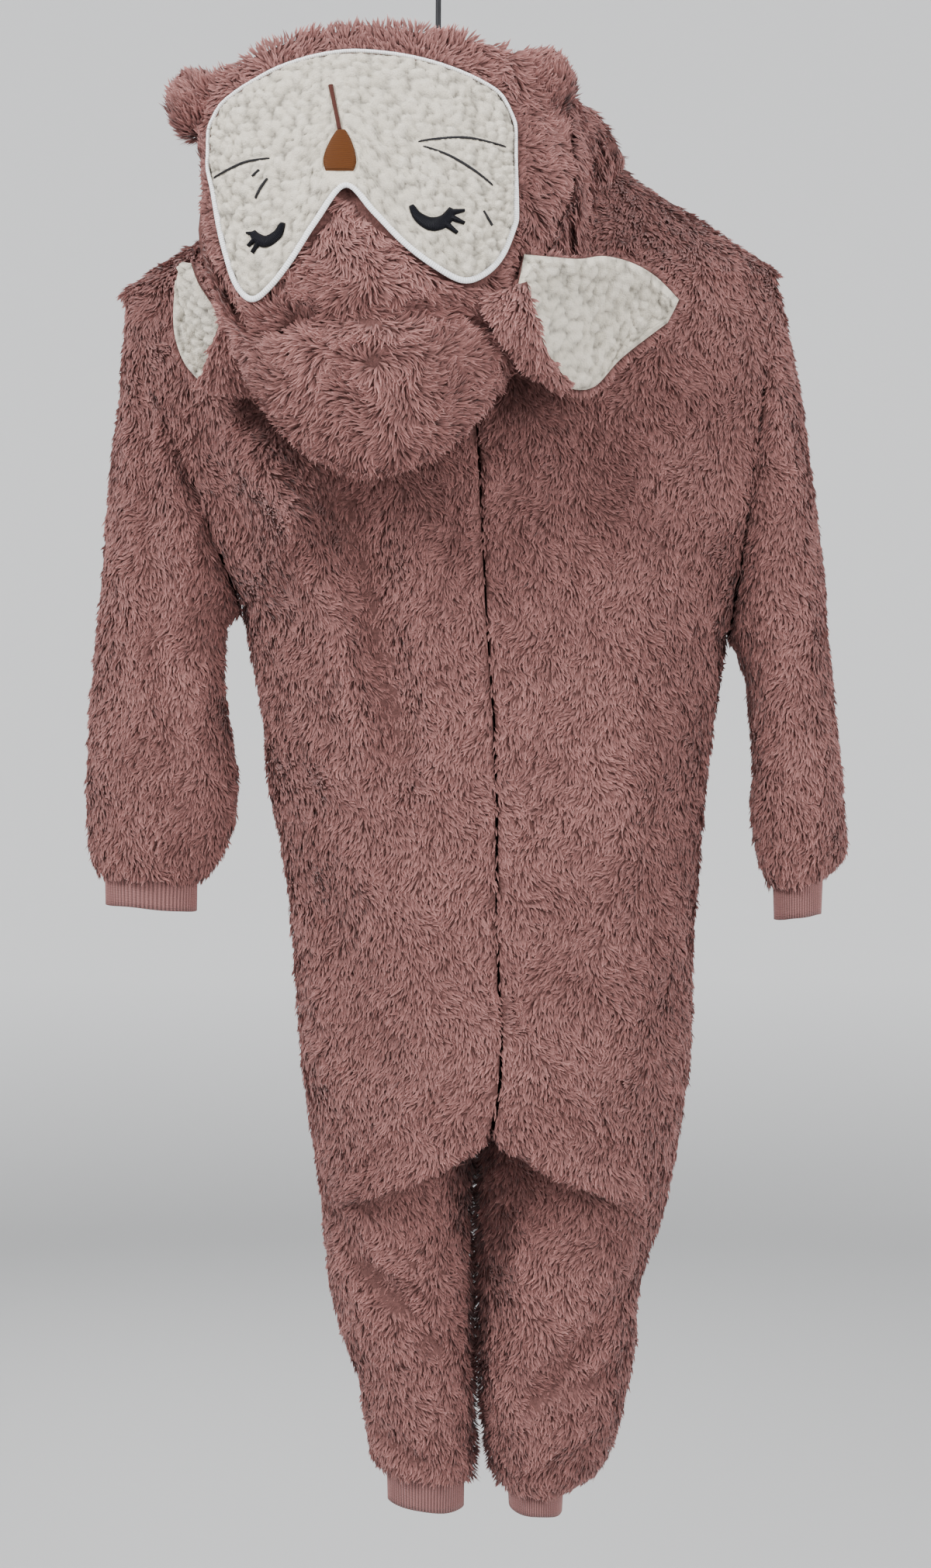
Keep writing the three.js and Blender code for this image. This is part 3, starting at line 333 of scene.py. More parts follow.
# Ears from root to tip: one edge, the other edge, and how far the middle sags in.
EARS = {
    "right": [
        [62, -173, -259, 57.2, -181, -284, 0],
        [79.7, -165, -258.5, 64.2, -177, -307, 6],
        [101.8, -153.5, -257.5, 75.5, -157.5, -330, 10],
        [119.8, -144, -253.5, 92, -136, -345, 12],
        [140, -134, -256, 113, -122, -344, 9],
        [158.5, -124, -264, 135, -114, -321, 6],
        [176, -116, -279, 168, -110, -295, 2],
    ],
    "left": [
        [-176, -132, -256, -183, -116, -252, 1],
        [-170, -138, -272, -189, -110, -266, 5],
        [-157.4, -138, -292, -192, -106, -286, 8],
        [-148.4, -133, -312, -191, -104, -305, 9],
        [-141.4, -128, -332, -184, -104, -324, 7],
        [-144, -120, -345, -172, -106, -338, 3],
    ],
}

# The plush that turns over beside each lining: its line at the lining, and its outer line.
TURNED = {
    "right": [
        [64, -184, -280, 35, -190, -292],
        [70, -183, -304, 44, -187, -312],
        [80, -164, -328, 62, -168, -334],
        [96, -143, -345, 84, -145, -350],
    ],
    "left": [
        [-150, -146, -292, -144, -142, -290],
        [-158, -143, -310, -134, -138, -312],
        [-165, -136, -328, -128, -132, -334],
        [-171, -128, -342, -134, -124, -350],
    ],
}

# More pile where the hood folds over at the neck: spokes from and to, side of the cloth (1 is its inner
# side), and how far the roots stand off it.
SIDES = {
    "side_right": ((1.5, 4.9), 1, PILE + BACKING + 2.5),
    "side_left": ((11.6, 14), 1, PILE + BACKING + 1),
    "neck_right": ((3, 4.9), -1, 1.5),
}

# Rolled corners of the hood's rim: centre and half sizes.
RIM_ROLLS = {
    "left": [-172, -122, -141, 19, 16, 22],
    "right": [71, -122, -128, 26, 19, 24],
}

# Rib knit cuffs: how far one rises into its hem, its length and its ribs.
CUFFS = {
    "wrist_left": {"rise": 14, "length": 38, "ribs": 66},
    "wrist_right": {"rise": 14, "length": 42, "ribs": 60},
    "ankle_left": {"rise": 12, "length": 38, "ribs": 74},
    "ankle_right": {"rise": 12, "length": 30, "ribs": 74},
}

# How pile grows on each plush piece: locks for each square centimetre that faces the room at the back,
# length and width of a lock, how far it swings from side to side, and how far it lifts where that is not
# the usual LIFT.
LIFT = 0.2
PILES = {
    "body": {"density": 32, "length": 8.4, "width": 1.95, "swing": 0.7, "lift": 0.13},
    "sleeve": {"density": 33, "length": 8.4, "width": 1.95, "swing": 0.6, "lift": 0.13},
    "hood": {"density": 38, "length": 11.5, "width": 1.9, "swing": 0.95},
    "ear": {"density": 38, "length": 8.5, "width": 2, "swing": 0.5},
    "roll": {"density": 38, "length": 12, "width": 2, "swing": 0.6},
}

# The stage, in metres: floor height, reach and top of the surround, and the round between them.
STAGE = {"floor": -1.75, "reach": 5.2, "round": 1.2, "top": 2.6, "sides": 96}
# Lights: name, place, size and power in watts. All of them point at LIGHT_AIM.
LIGHTS = [
    ("key_light", (-2.3, -1.9, 1.6), (1.2, 1.2), 195),
    ("fill_light", (2.0, -2.4, 0.5), (1.8, 2.2), 115),
    ("front_light", (-0.6, 2.6, 0.9), (1.8, 1.8), 60),
]
LIGHT_AIM = (0.02, 0, -0.6)
SKY = {"Color": (0.93, 0.96, 1.0, 1), "Strength": 0.62}
# The camera stands level behind the garment's back.
CAMERA = {"lens": 56.4, "place": (0.021, -1.9, -0.661)}


# Points, curves and noise


def put_in_frame(points):
    """Millimetres of the tables to the frame's metres."""
    return (np.asarray(points, float) - (0, 0, HOOK_RISE)) * MM


def unit(vectors):
    """Vectors of length one."""
    return vectors / np.maximum(np.linalg.norm(vectors, axis=-1, keepdims=True), 1e-9)


def cubic(u, a, b, c, d):
    """The way from b to c at parts u, by a cubic whose slope at each is half the step between the points
    before and after it."""
    return 0.5 * (2 * b + (c - a) * u + (2 * a - 5 * b + 4 * c - d) * u**2 + (3 * b - a - 3 * c + d) * u**3)


def along(table, place):
    """A smooth curve through the rows of a table, read at fractional places."""
    table = np.asarray(table, float)
    last = len(table) - 1
    k = np.clip(np.floor(place).astype(int), 0, last - 1)
    u = (place - k)[..., None]
    return cubic(u, *(table[np.clip(k + step, 0, last)] for step in (-1, 0, 1, 2)))


def along_stops(stops, place):
    """The same cubic through a list of arrays of points, one array for each stop."""
    stops = np.stack(stops)
    last = len(stops) - 1
    k = np.clip(np.floor(place).astype(int), 0, last - 1)
    u = (place - k)[..., None]

    def stop(step):
        index = np.clip(k + step, 0, last)[None, ..., None]
        return np.take_along_axis(stops, index, 0)[0]

    return cubic(u, *(stop(step) for step in (-1, 0, 1, 2)))


def ripple(points, size, seed):
    """Soft noise from -1 to 1: the mean of seven sine waves of about that length in random directions."""
    rng = np.random.default_rng(seed)
    waves = unit(rng.normal(size=(7, 3))) * (2 * np.pi / size) * rng.uniform(0.6, 1.5, (7, 1))
    phases = rng.uniform(0, 2 * np.pi, 7)
    return np.clip(np.sin(points @ waves.T + phases).mean(-1) * 1.9, -1, 1)


def knobs(a, b, size, seed):
    """Rounded knobs packed side by side: a dome over the nearest of the points that stand one in each
    square of a grid, moved at random. Gives the height from 0 to 1 and the dome's own random number."""
    rng = np.random.default_rng(seed)
    spots = rng.uniform(0.08, 0.92, (KNOB_SPOTS, KNOB_SPOTS, 3))
    ia, ib = np.floor(a / size).astype(int), np.floor(b / size).astype(int)
    nearest = np.full(np.shape(a), 9.0)
    own = np.zeros(np.shape(a))
    for da in (-1, 0, 1):
        for db in (-1, 0, 1):
            spot = spots[(ia + da) % KNOB_SPOTS, (ib + db) % KNOB_SPOTS]
            far = np.hypot(a / size - ia - da - spot[..., 0], b / size - ib - db - spot[..., 1])
            own = np.where(far < nearest, spot[..., 2], own)
            nearest = np.minimum(nearest, far)
    return np.clip(1 - (nearest / KNOB_REACH) ** 2, 0, 1), own


def curls(a, b, points, seed):
    """The relief of sherpa from 0 to 1: large knobs of many heights, with small ones over them, drawn
    out of line by soft noise. Gives the relief and the large knob's own random number."""
    wander = 1.8 * ripple(points, 26, seed), 1.8 * ripple(points, 26, seed + 1)
    large, own = knobs(a + wander[0], b + wander[1], KNOB, seed)
    small, _ = knobs(a + wander[1], b + wander[0], SMALL_KNOB, seed + 2)
    return (large * (0.4 + 0.6 * own) + 0.28 * small) / 1.28, own


def smooth(value):
    """Eases from 0 to 1."""
    value = np.clip(value, 0, 1)
    return value * value * (3 - 2 * value)


def gap_to(outline, x, z):
    """Distance from places to the nearest point of an outline."""
    return np.min([np.hypot(x - ox, z - oz) for ox, oz in outline], axis=0)


def is_inside(places, outline):
    """True for places inside a closed outline: the outline crosses their level an odd number of times to
    their right."""
    x, z = places[:, 0], places[:, 1]
    inside = np.zeros(len(x), bool)
    for (x0, z0), (x1, z1) in zip(outline, np.roll(outline, -1, 0)):
        crosses = (z0 > z) != (z1 > z)
        reach = x0 + (z - z0) / (z1 - z0 if z1 != z0 else 1e-9) * (x1 - x0)
        inside ^= crosses & (x < reach)
    return inside


# Meshes


def grid_faces(rows, columns, closed=False):
    """Quads of a grid of points counted row by row. A closed grid joins its last column to its first."""
    i = np.arange(rows - 1)[:, None]
    j = np.arange(columns if closed else columns - 1)[None]
    a = i * columns + j
    b = i * columns + (j + 1) % columns
    return np.stack([a, b, b + columns, a + columns], -1).reshape(-1, 4)


def wall(outer, inner, closed=False):
    """Points and faces of a cloth with thickness: two grids and the rim that joins their edges."""
    rows, columns = outer.shape[:2]
    count = rows * columns
    index = np.arange(count).reshape(rows, columns)
    front = grid_faces(rows, columns, closed)
    faces = [front, front[:, ::-1] + count]
    if closed:
        rings = [index[0], index[-1][::-1]]
    else:
        rings = [np.concatenate([index[0], index[1:, -1], index[-1, -2::-1], index[-2:0:-1, 0]])]
    for ring in rings:
        after = np.roll(ring, -1)
        faces.append(np.stack([after, ring, ring + count, after + count], -1))
    points = np.concatenate([outer.reshape(-1, 3), inner.reshape(-1, 3)])
    return facing_out(points, np.concatenate(faces))


def facing_out(points, faces):
    """Turns the faces of a closed body over if its volume comes out negative."""
    a, b, c = (points[faces[:, k]] for k in range(3))
    volume = np.einsum("ij,ij->i", a, np.cross(b, c)).sum()
    if faces.shape[1] == 4:
        d = points[faces[:, 3]]
        volume += np.einsum("ij,ij->i", a, np.cross(c, d)).sum()
    return points, faces if volume > 0 else faces[:, ::-1]


def grid_normals(points, sign, closed=False):
    """Unit normals of a grid from the steps to its neighbours."""
    down = np.gradient(points, axis=0)
    across = np.roll(points, -1, 1) - np.roll(points, 1, 1) if closed else np.gradient(points, axis=1)
    return unit(np.cross(down, across)) * sign


def room_side(grid):
    """Unit normals of a grid turned to the room at the back, and the sign that turned them."""
    normals = grid_normals(grid, 1)
    sign = -1 if normals[grid.shape[0] // 2, grid.shape[1] // 2, 1] > 0 else 1
    return normals * sign, sign


def both_sides(a, b):
    """The UV of a wall: the same two parts for its outer grid and its inner one."""
    uv = np.stack([a, b], -1).reshape(-1, 2)
    return np.concatenate([uv, uv])


def add_piece(name, points, faces, material, stands_for=(), uv=None, body=BODY):
    """Makes a mesh piece from points in table millimetres, and lets it ride on its body."""
    mesh = bpy.data.meshes.new(name)
    groups = faces if isinstance(faces, list) else [faces]
    corners = np.concatenate([group.ravel() for group in groups]).astype(np.int32)
    sizes = np.concatenate([np.full(len(group), group.shape[1]) for group in groups])
    mesh.vertices.add(len(points))
    mesh.vertices.foreach_set("co", put_in_frame(points).astype(np.float32).ravel())
    mesh.loops.add(len(corners))
    mesh.loops.foreach_set("vertex_index", corners)
    mesh.polygons.add(len(sizes))
    mesh.polygons.foreach_set("loop_start", (np.cumsum(sizes) - sizes).astype(np.int32))
    mesh.polygons.foreach_set("use_smooth", np.ones(len(sizes), bool))
    if uv is not None:
        layer = mesh.uv_layers.new(name="UVMap")
        layer.data.foreach_set("uv", uv[corners].astype(np.float32).ravel())
    mesh.update(calc_edges=True)
    mesh.validate()
    piece = bpy.data.objects.new(name, mesh)
    bpy.context.scene.collection.objects.link(piece)
    mesh.materials.append(material)
    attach(piece, body)
    if stands_for:
        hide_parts(*stands_for)
    return piece


# The garment's surfaces, each a function of two parameters in table millimetres


def fold_height(folds, x, z):
    """Sum of the folds at a place: a bell across each line that fades past both of its ends."""
    height = 0
    for x0, z0, x1, z1, width, lift in folds:
        dx, dz = x1 - x0, z1 - z0
        length = math.hypot(dx, dz)
        part = ((x - x0) * dx + (z - z0) * dz) / length**2
        off = ((x - x0) * dz - (z - z0) * dx) / length
        past = np.maximum(0, np.maximum(-part, part - 1)) * length
        height = height + lift * np.exp(-((off / width) ** 2) - (past / (1.4 * width)) ** 2)
    return height


def body_rows(side):
    """The rows of a body panel with those along the armhole worked out: the opening is a half oval."""
    top, foot = np.array(ARMHOLE[side], float)
    part = np.linspace(0, 1, ARMHOLE_STEPS + 1)
    hole = top + (foot - top) * part[:, None]
    swing = (1 - np.cos(np.pi * part)) / 2
    for column in (OX, OZ):
        hole[:, column] = top[column] + (foot[column] - top[column]) * swing
    rows = np.vstack([SHOULDER[side], hole, LOWER[side]])
    edge = np.zeros(len(rows))
    edge[len(SHOULDER[side]):len(SHOULDER[side]) + len(hole)] = ARMHOLE_DEPTH * np.sin(np.pi * part)
    return np.column_stack([rows, edge])


BODY_ROWS = {side: body_rows(side) for side in ("left", "right")}
LAST_ROW = len(BODY_ROWS["left"]) - 1
LEG_ROW = LAST_ROW - 8


def body_cloth(side, face):
    """A body panel. Across a row the cloth is a quarter oval on the torso, from the centre seam to the side
    seam or to the armhole, and closes to a half oval round a leg. Its height slides from the seam's to the
    edge's, and folds stand off it."""
    rows = BODY_ROWS[side]
    out = -1 if face == "back" else 1

    def cloth(place, s):
        row = np.moveaxis(along(rows, place), -1, 0)
        deep = row[BACK if face == "back" else FRONT]
        start = -np.pi / 2 * np.clip(row[SPLIT], 0, 1)
        end = np.arccos(np.clip(row[EDGE] / deep, 0, 1))
        turn = start + (end - start) * s
        half = (row[OX] - row[CX]) / (np.sin(end) - np.sin(start))
        x = row[CX] + half * (np.sin(turn) - np.sin(start))
        across = np.clip((x - row[CX]) / (row[OX] - row[CX]), 0, 1)
        centre = row[CZ] - (row[DROP] if face == "front" else 0)
        z = centre + (row[OZ] - centre) * across ** row[BEND]
        fade = smooth(3 * (1 - s)) * np.where(row[SPLIT] > 0.5, smooth(4 * s), 1)
        if face == "front":
            fade = fade * smooth((np.abs(x - row[CX]) - ZIP_FLAT) / 40)
        folds = FOLD_GAIN * fold_height(FOLDS[face], x, z) + CREASE_GAIN * fold_height(CREASES[face], x, z)
        seam = 2.4 * np.exp(-(((x - row[CX]) / 3.5) ** 2)) * (row[SPLIT] < 0.5) * (face == "back")
        y = out * (deep * np.cos(turn) + folds * fade - seam)
        points = np.stack([x, y, z], -1)
        points[..., 1] += out * 1.3 * ripple(points, 70, 5) * smooth(6 * (1 - s)) * smooth(6 * s)
        return points

    return cloth


def sleeve_cloth(side):
    """A sleeve: ovals from ring to ring, pressed in along its creases."""
    rings = np.array(SLEEVES[side])

    def cloth(place, turn):
        ox, oz, ix, iz, deep = np.moveaxis(along(rings, place), -1, 0)
        centre = np.stack([(ox + ix) / 2, 0 * ox, (oz + iz) / 2], -1)
        reach = np.stack([(ox - ix) / 2, 0 * ox, (oz - iz) / 2], -1)
        half = np.linalg.norm(reach, axis=-1)
        sink = 0
        for first, last, turn0, turn1, spread, depth in SLEEVE_CREASES[side]:
            part = (place - first) / (last - first)
            middle = turn0 + (turn1 - turn0) * np.clip(part, 0, 1)
            off = ((np.degrees(turn) - middle + 180) % 360 - 180) / spread
            fade = smooth(2 - np.abs(2 * part - 1) * 1.3) * smooth(place)
            sink = sink + depth * np.exp(-off * off) * fade
        normal = np.stack([0 * ox, -np.sin(turn) / deep, 0 * ox], -1)
        normal = unit(normal + unit(reach) * (np.cos(turn) / half)[..., None])
        points = centre + reach * np.cos(turn)[..., None]
        points[..., 1] = -deep * np.sin(turn)
        swell = 1.5 * ripple(points, 60, 8) * smooth(place)
        return points + normal * (swell - sink)[..., None]

    return cloth


def neckline(turn):
    """Points of the neckline at angles round the neck, 0 at the front and 90 on the right."""
    right = turn <= 180
    local = np.where(right, turn, 360 - turn)
    back = local > 90
    quarter = np.radians(np.where(back, 180 - local, local))
    rows = {side: BODY_ROWS[side][0] for side in ("left", "right")}

    def pick(column):
        return np.where(right, rows["right"][column], rows["left"][column])

    x = pick(CX) + (pick(OX) - pick(CX)) * np.sin(quarter)
    centre = pick(CZ) - np.where(back, 0, pick(DROP))
    z = centre + (pick(OZ) - centre) * np.clip(np.sin(quarter), 0, 1) ** pick(BEND)
    y = np.where(back, -pick(BACK), pick(FRONT)) * np.cos(quarter)
    return np.stack([x, y, z], -1)


def hood_cloth(place, t):
    """The dropped hood. From each point of the neckline a smooth line rolls over, hangs to its lowest
    point, comes back up past the seam between the ears, and ends at the rim of the face opening."""
    spoke = along(SPOKES, place)
    sag = spoke[..., 1]
    neck = neckline(spoke[..., 0]) + (0, 0, NECK_GAP)
    low, seam, rim = spoke[..., 2:5], spoke[..., 5:8], spoke[..., 8:11]
    out, up = NECK_ROLL
    roll = np.stack([0 * sag, -out * sag, up * np.clip(2.5 * sag, 0, 1)], -1)
    over = neck + (low - neck) * (0.25 * (1 - sag))[..., None] + roll
    far = (neck + low) / 2
    bulge = np.stack([0 * sag, -FACE_BULGE * sag, 0 * sag], -1)
    points = along_stops([neck, over, far, low, seam, (seam + rim) / 2 + bulge, rim], t)
    points[..., 1] += SEAM_SINK * sag * np.exp(-(((t - EAR_SEAM) / 0.1) ** 2))
    for spoke_place, sink in SIDE_CREASES:
        points[..., 1] += sink * np.exp(-(((place - spoke_place) / 0.3) ** 2)) * smooth(t - 1.5)
    return points


def frame_on(cloth, u, v, sign):
    """Points of a surface with their unit normals, from small steps along both parameters."""
    du = cloth(u + STEP, v) - cloth(u - STEP, v)
    dv = cloth(u, v + STEP) - cloth(u, v - STEP)
    return cloth(u, v), unit(np.cross(du, dv)) * sign


# Spokes and stops of the coarse grid behind the face.
HOOD_GRID = np.meshgrid(np.arange(4.75, 11.3, 0.25), np.arange(3.2, 6.01, 0.2), indexing="ij")


def on_hood(x, z):
    """The hood's points and normals behind places of the face: the nearest point of a coarse grid, then
    eight steps down the slope in both parameters."""
    shape = np.shape(x)
    x, z = np.ravel(x).astype(float), np.ravel(z).astype(float)
    places, stops = (grid.ravel() for grid in HOOD_GRID)
    coarse = hood_cloth(places, stops)
    miss = (x[:, None] - coarse[:, 0]) ** 2 + (z[:, None] - coarse[:, 2]) ** 2
    first = miss.argmin(1)
    place, t = places[first], stops[first]
    for _ in range(8):
        p = hood_cloth(place, t)
        dp = (hood_cloth(place + STEP, t) - p) / STEP
        dt = (hood_cloth(place, t + STEP) - p) / STEP
        det = dp[:, 0] * dt[:, 2] - dt[:, 0] * dp[:, 2]
        det = np.where(np.abs(det) < 1e-6, 1e-6, det)
        off_x, off_z = x - p[:, 0], z - p[:, 2]
        place = place + np.clip((off_x * dt[:, 2] - off_z * dt[:, 0]) / det, -1, 1)
        t = np.clip(t + np.clip((off_z * dp[:, 0] - off_x * dp[:, 2]) / det, -1, 1), 3, RIM)
    points, normals = frame_on(hood_cloth, place, t, -1)
    return points.reshape(*shape, 3), normals.reshape(*shape, 3)


def ear_cloth(side):
    """An ear: lines from edge to edge that sag in the middle, from the root to the tip."""
    rows = np.array(EARS[side])

    def cloth(place, s):
        row = along(rows, place)
        points = row[..., :3] + (row[..., 3:6] - row[..., :3]) * s[..., None]
        points[..., 1] += row[..., 6] * np.sin(np.pi * s)
        return points

    return cloth


# Pile


def scatter(cloth, u_span, v_span, pile, sign, rng, times_as_many=1):
    """Parameters of roots spread over a surface, as many for each square centimetre as the pile's density
    says where it faces the room at the back, and fewer on the sides that face away."""
    density = times_as_many * pile["density"] * settings().pile_density
    steps = 160
    u, v = np.meshgrid(np.linspace(*u_span, steps), np.linspace(*v_span, steps), indexing="ij")
    points = cloth(u, v)
    du, dv = points[1:, :-1] - points[:-1, :-1], points[:-1, 1:] - points[:-1, :-1]
    cross = np.cross(du, dv) * sign
    area = np.linalg.norm(cross, axis=-1)
    seen = smooth(0.7 - 1.2 * cross[..., 1] / np.maximum(area, 1e-9))
    share = np.cumsum((area * (0.45 + 0.55 * seen)).ravel())
    count = int(share[-1] / 100 * density)
    at = (np.arange(count) + rng.random(count)) / count * share[-1]
    cell = np.minimum(np.searchsorted(share, at), share.size - 1)
    i, j = cell // (steps - 1), cell % (steps - 1)
    u_step, v_step = (u_span[1] - u_span[0]) / (steps - 1), (v_span[1] - v_span[0]) / (steps - 1)
    return u_span[0] + (i + rng.random(count)) * u_step, v_span[0] + (j + rng.random(count)) * v_step


def comb_down(points):
    """Pile brushed down the garment."""
    return np.zeros_like(points) + (0, 0, -1.0)


def seam_x(z):
    """Place across of the garment's centre seam and of the inseams at heights."""
    rows = BODY_ROWS["right"]
    order = np.argsort(rows[:, CZ])
    return np.interp(z, rows[order, CZ], rows[order, CX])


def comb_body(points):
    """Pile brushed down, and parted along the centre seam."""
    off = points[:, 0] - seam_x(points[:, 2])
    parting = np.sign(off) * np.exp(-((off / 9) ** 2))
    return np.stack([0.45 * parting, 0 * off, 0 * off - 1], -1)


def comb_from(centre, pull=0.0):
    """Pile brushed away from a centre, with some pull down."""
    return lambda points: unit(points - centre) + (0, 0, -pull)


def grow_locks(name, cloth, roots, sign, comb, pile, rng, depth):
    """Pointed locks as one piece. Each is a kite bent across its middle: it rises from one point at that
    depth under the surface, bends over along the combed direction, curls to one side and ends in a point.
    The UV holds the lock's random number and the way from root to tip."""
    u, v = roots
    points, normals = frame_on(cloth, u, v, sign)
    count = len(points)
    combed = comb(points)
    combed = unit(combed - normals * (combed * normals).sum(-1, keepdims=True))
    beside = np.cross(normals, combed)
    swing = pile["swing"] * (1.2 * ripple(points, 75, 21) + 0.9 * ripple(points, 24, 22))
    swing = swing + rng.normal(0, 0.22, count)
    heading = combed * np.cos(swing)[:, None] + beside * np.sin(swing)[:, None]
    beside = np.cross(normals, heading)
    tuft = 0.5 + 0.5 * ripple(points, 13, 23)
    length = (pile["length"] * rng.uniform(0.75, 1.2, count) * (0.85 + 0.3 * tuft))[:, None]
    width = (pile["width"] * rng.uniform(0.7, 1.3, count))[:, None]
    lift = (pile.get("lift", LIFT) + 0.3 * tuft + rng.normal(0, 0.07, count)).clip(0.12, 0.8)[:, None]
    curl = (0.9 * ripple(points, 17, 24) + rng.normal(0, 0.25, count))[:, None] * 0.28
    roll = rng.normal(0, 0.45, count)[:, None]
    blade = beside * np.cos(roll) + normals * np.sin(roll)
    root = points - normals * (depth + 0.4)
    middle = root + length * (heading * 0.42 + normals * (0.10 + 0.72 * lift) * 0.62 + beside * curl * 0.35)
    tip = root + length * (heading * (1.0 - 0.45 * lift) + normals * lift * 0.95 + beside * curl)
    made = np.stack([root, middle - blade * width * 0.5, middle + blade * width * 0.5, tip], 1)
    base = (np.arange(count) * 4)[:, None]
    faces = np.concatenate([base + (0, 2, 1), base + (1, 2, 3)])
    uv = np.stack([np.repeat(rng.random(count), 4), np.tile([0, 0.45, 0.45, 1], count)], -1)
    return add_piece(f"{name}_pile", made.reshape(-1, 3), faces, finish("plush_pile"), uv=uv)


def plush(name, cloth, spans, steps, sign, comb, pile, seed, closed=False, keep=None, seams=None,
          style=None):
    """A plush piece: a thin backing that keeps the panel's form, with its pile planted on it. The backing
    comes up to its neighbour's along the seams, where seams(u, v) goes to 0. keep says which roots stay,
    and style changes how the pile grows from place to place."""
    u, v = (np.linspace(*span, count) for span, count in zip(spans, steps))
    if closed:
        v = v[:-1]
    u, v = np.meshgrid(u, v, indexing="ij")
    grid = cloth(u, v)
    normals = grid_normals(grid, sign, closed)

    def depth(u, v):
        return PILE + 0 * u if seams is None else SEAM_DEPTH + (PILE - SEAM_DEPTH) * smooth(seams(u, v))

    sunk = depth(u, v)[..., None]
    points, faces = wall(grid - normals * sunk, grid - normals * (sunk + BACKING), closed)
    backing = add_piece(f"{name}_cloth", points, faces, finish("plush_backing"), [name])
    rng = np.random.default_rng(seed)
    roots = scatter(cloth, *spans, pile, sign, rng)
    if keep is not None:
        kept = keep(cloth(*roots), *roots)
        roots = roots[0][kept], roots[1][kept]
    if style is not None:
        pile = {**pile, **style(cloth(*roots), *roots)}
    hair = grow_locks(name, cloth, roots, sign, comb, pile, rng, depth(*roots)[:, None])
    return backing


def side_pile(name, span, sign, rise, seed):
    """More pile on one side of the hood's cloth, where it folds over at the side of the neck and shows."""
    rng = np.random.default_rng(seed)
    roots = scatter(hood_cloth, span, (0.3, RIM), PILES["hood"], sign, rng)
    return grow_locks(f"hood_{name}", hood_cloth, roots, sign, comb_down, PILES["hood"], rng, -rise)


def rim_roll(side, seed):
    """A rolled corner of the hood's rim: an oval body under long pile that stands out all round it."""
    x, y, z, half_x, half_y, half_z = RIM_ROLLS[side]
    rows, columns = GRIDS["rim_roll"]
    pole = 0.02
    outward = 1 if side == "right" else -1

    def cloth(lat, turn):
        out = np.sin(lat)
        around = out * np.cos(turn) * half_x, out * np.sin(turn) * half_y, np.cos(lat) * half_z
        return np.stack(around, -1) + (x, y, z)

    lats = np.linspace(pole, np.pi - pole, rows)
    turns = np.linspace(0, 2 * np.pi, columns, endpoint=False)
    grid = cloth(*np.meshgrid(lats, turns, indexing="ij"))
    rings = grid_faces(rows, columns, closed=True)[:, ::-1]
    cap = np.arange(columns)[None]
    caps = [cap, cap[:, ::-1] + (rows - 1) * columns]
    body = add_piece(f"rim_{side}_cloth", grid.reshape(-1, 3), [rings, *caps], finish("plush_backing"))
    rng = np.random.default_rng(seed)
    roots = scatter(cloth, (0.05, np.pi - 0.05), (0, 2 * np.pi), PILES["roll"], 1, rng, times_as_many=1.5)

    def comb(points):
        return np.zeros_like(points) + (0.55 * outward, -0.15, 0.8)

    return body, grow_locks(f"rim_{side}", cloth, roots, 1, comb, PILES["roll"], rng, 0)


# Finishes


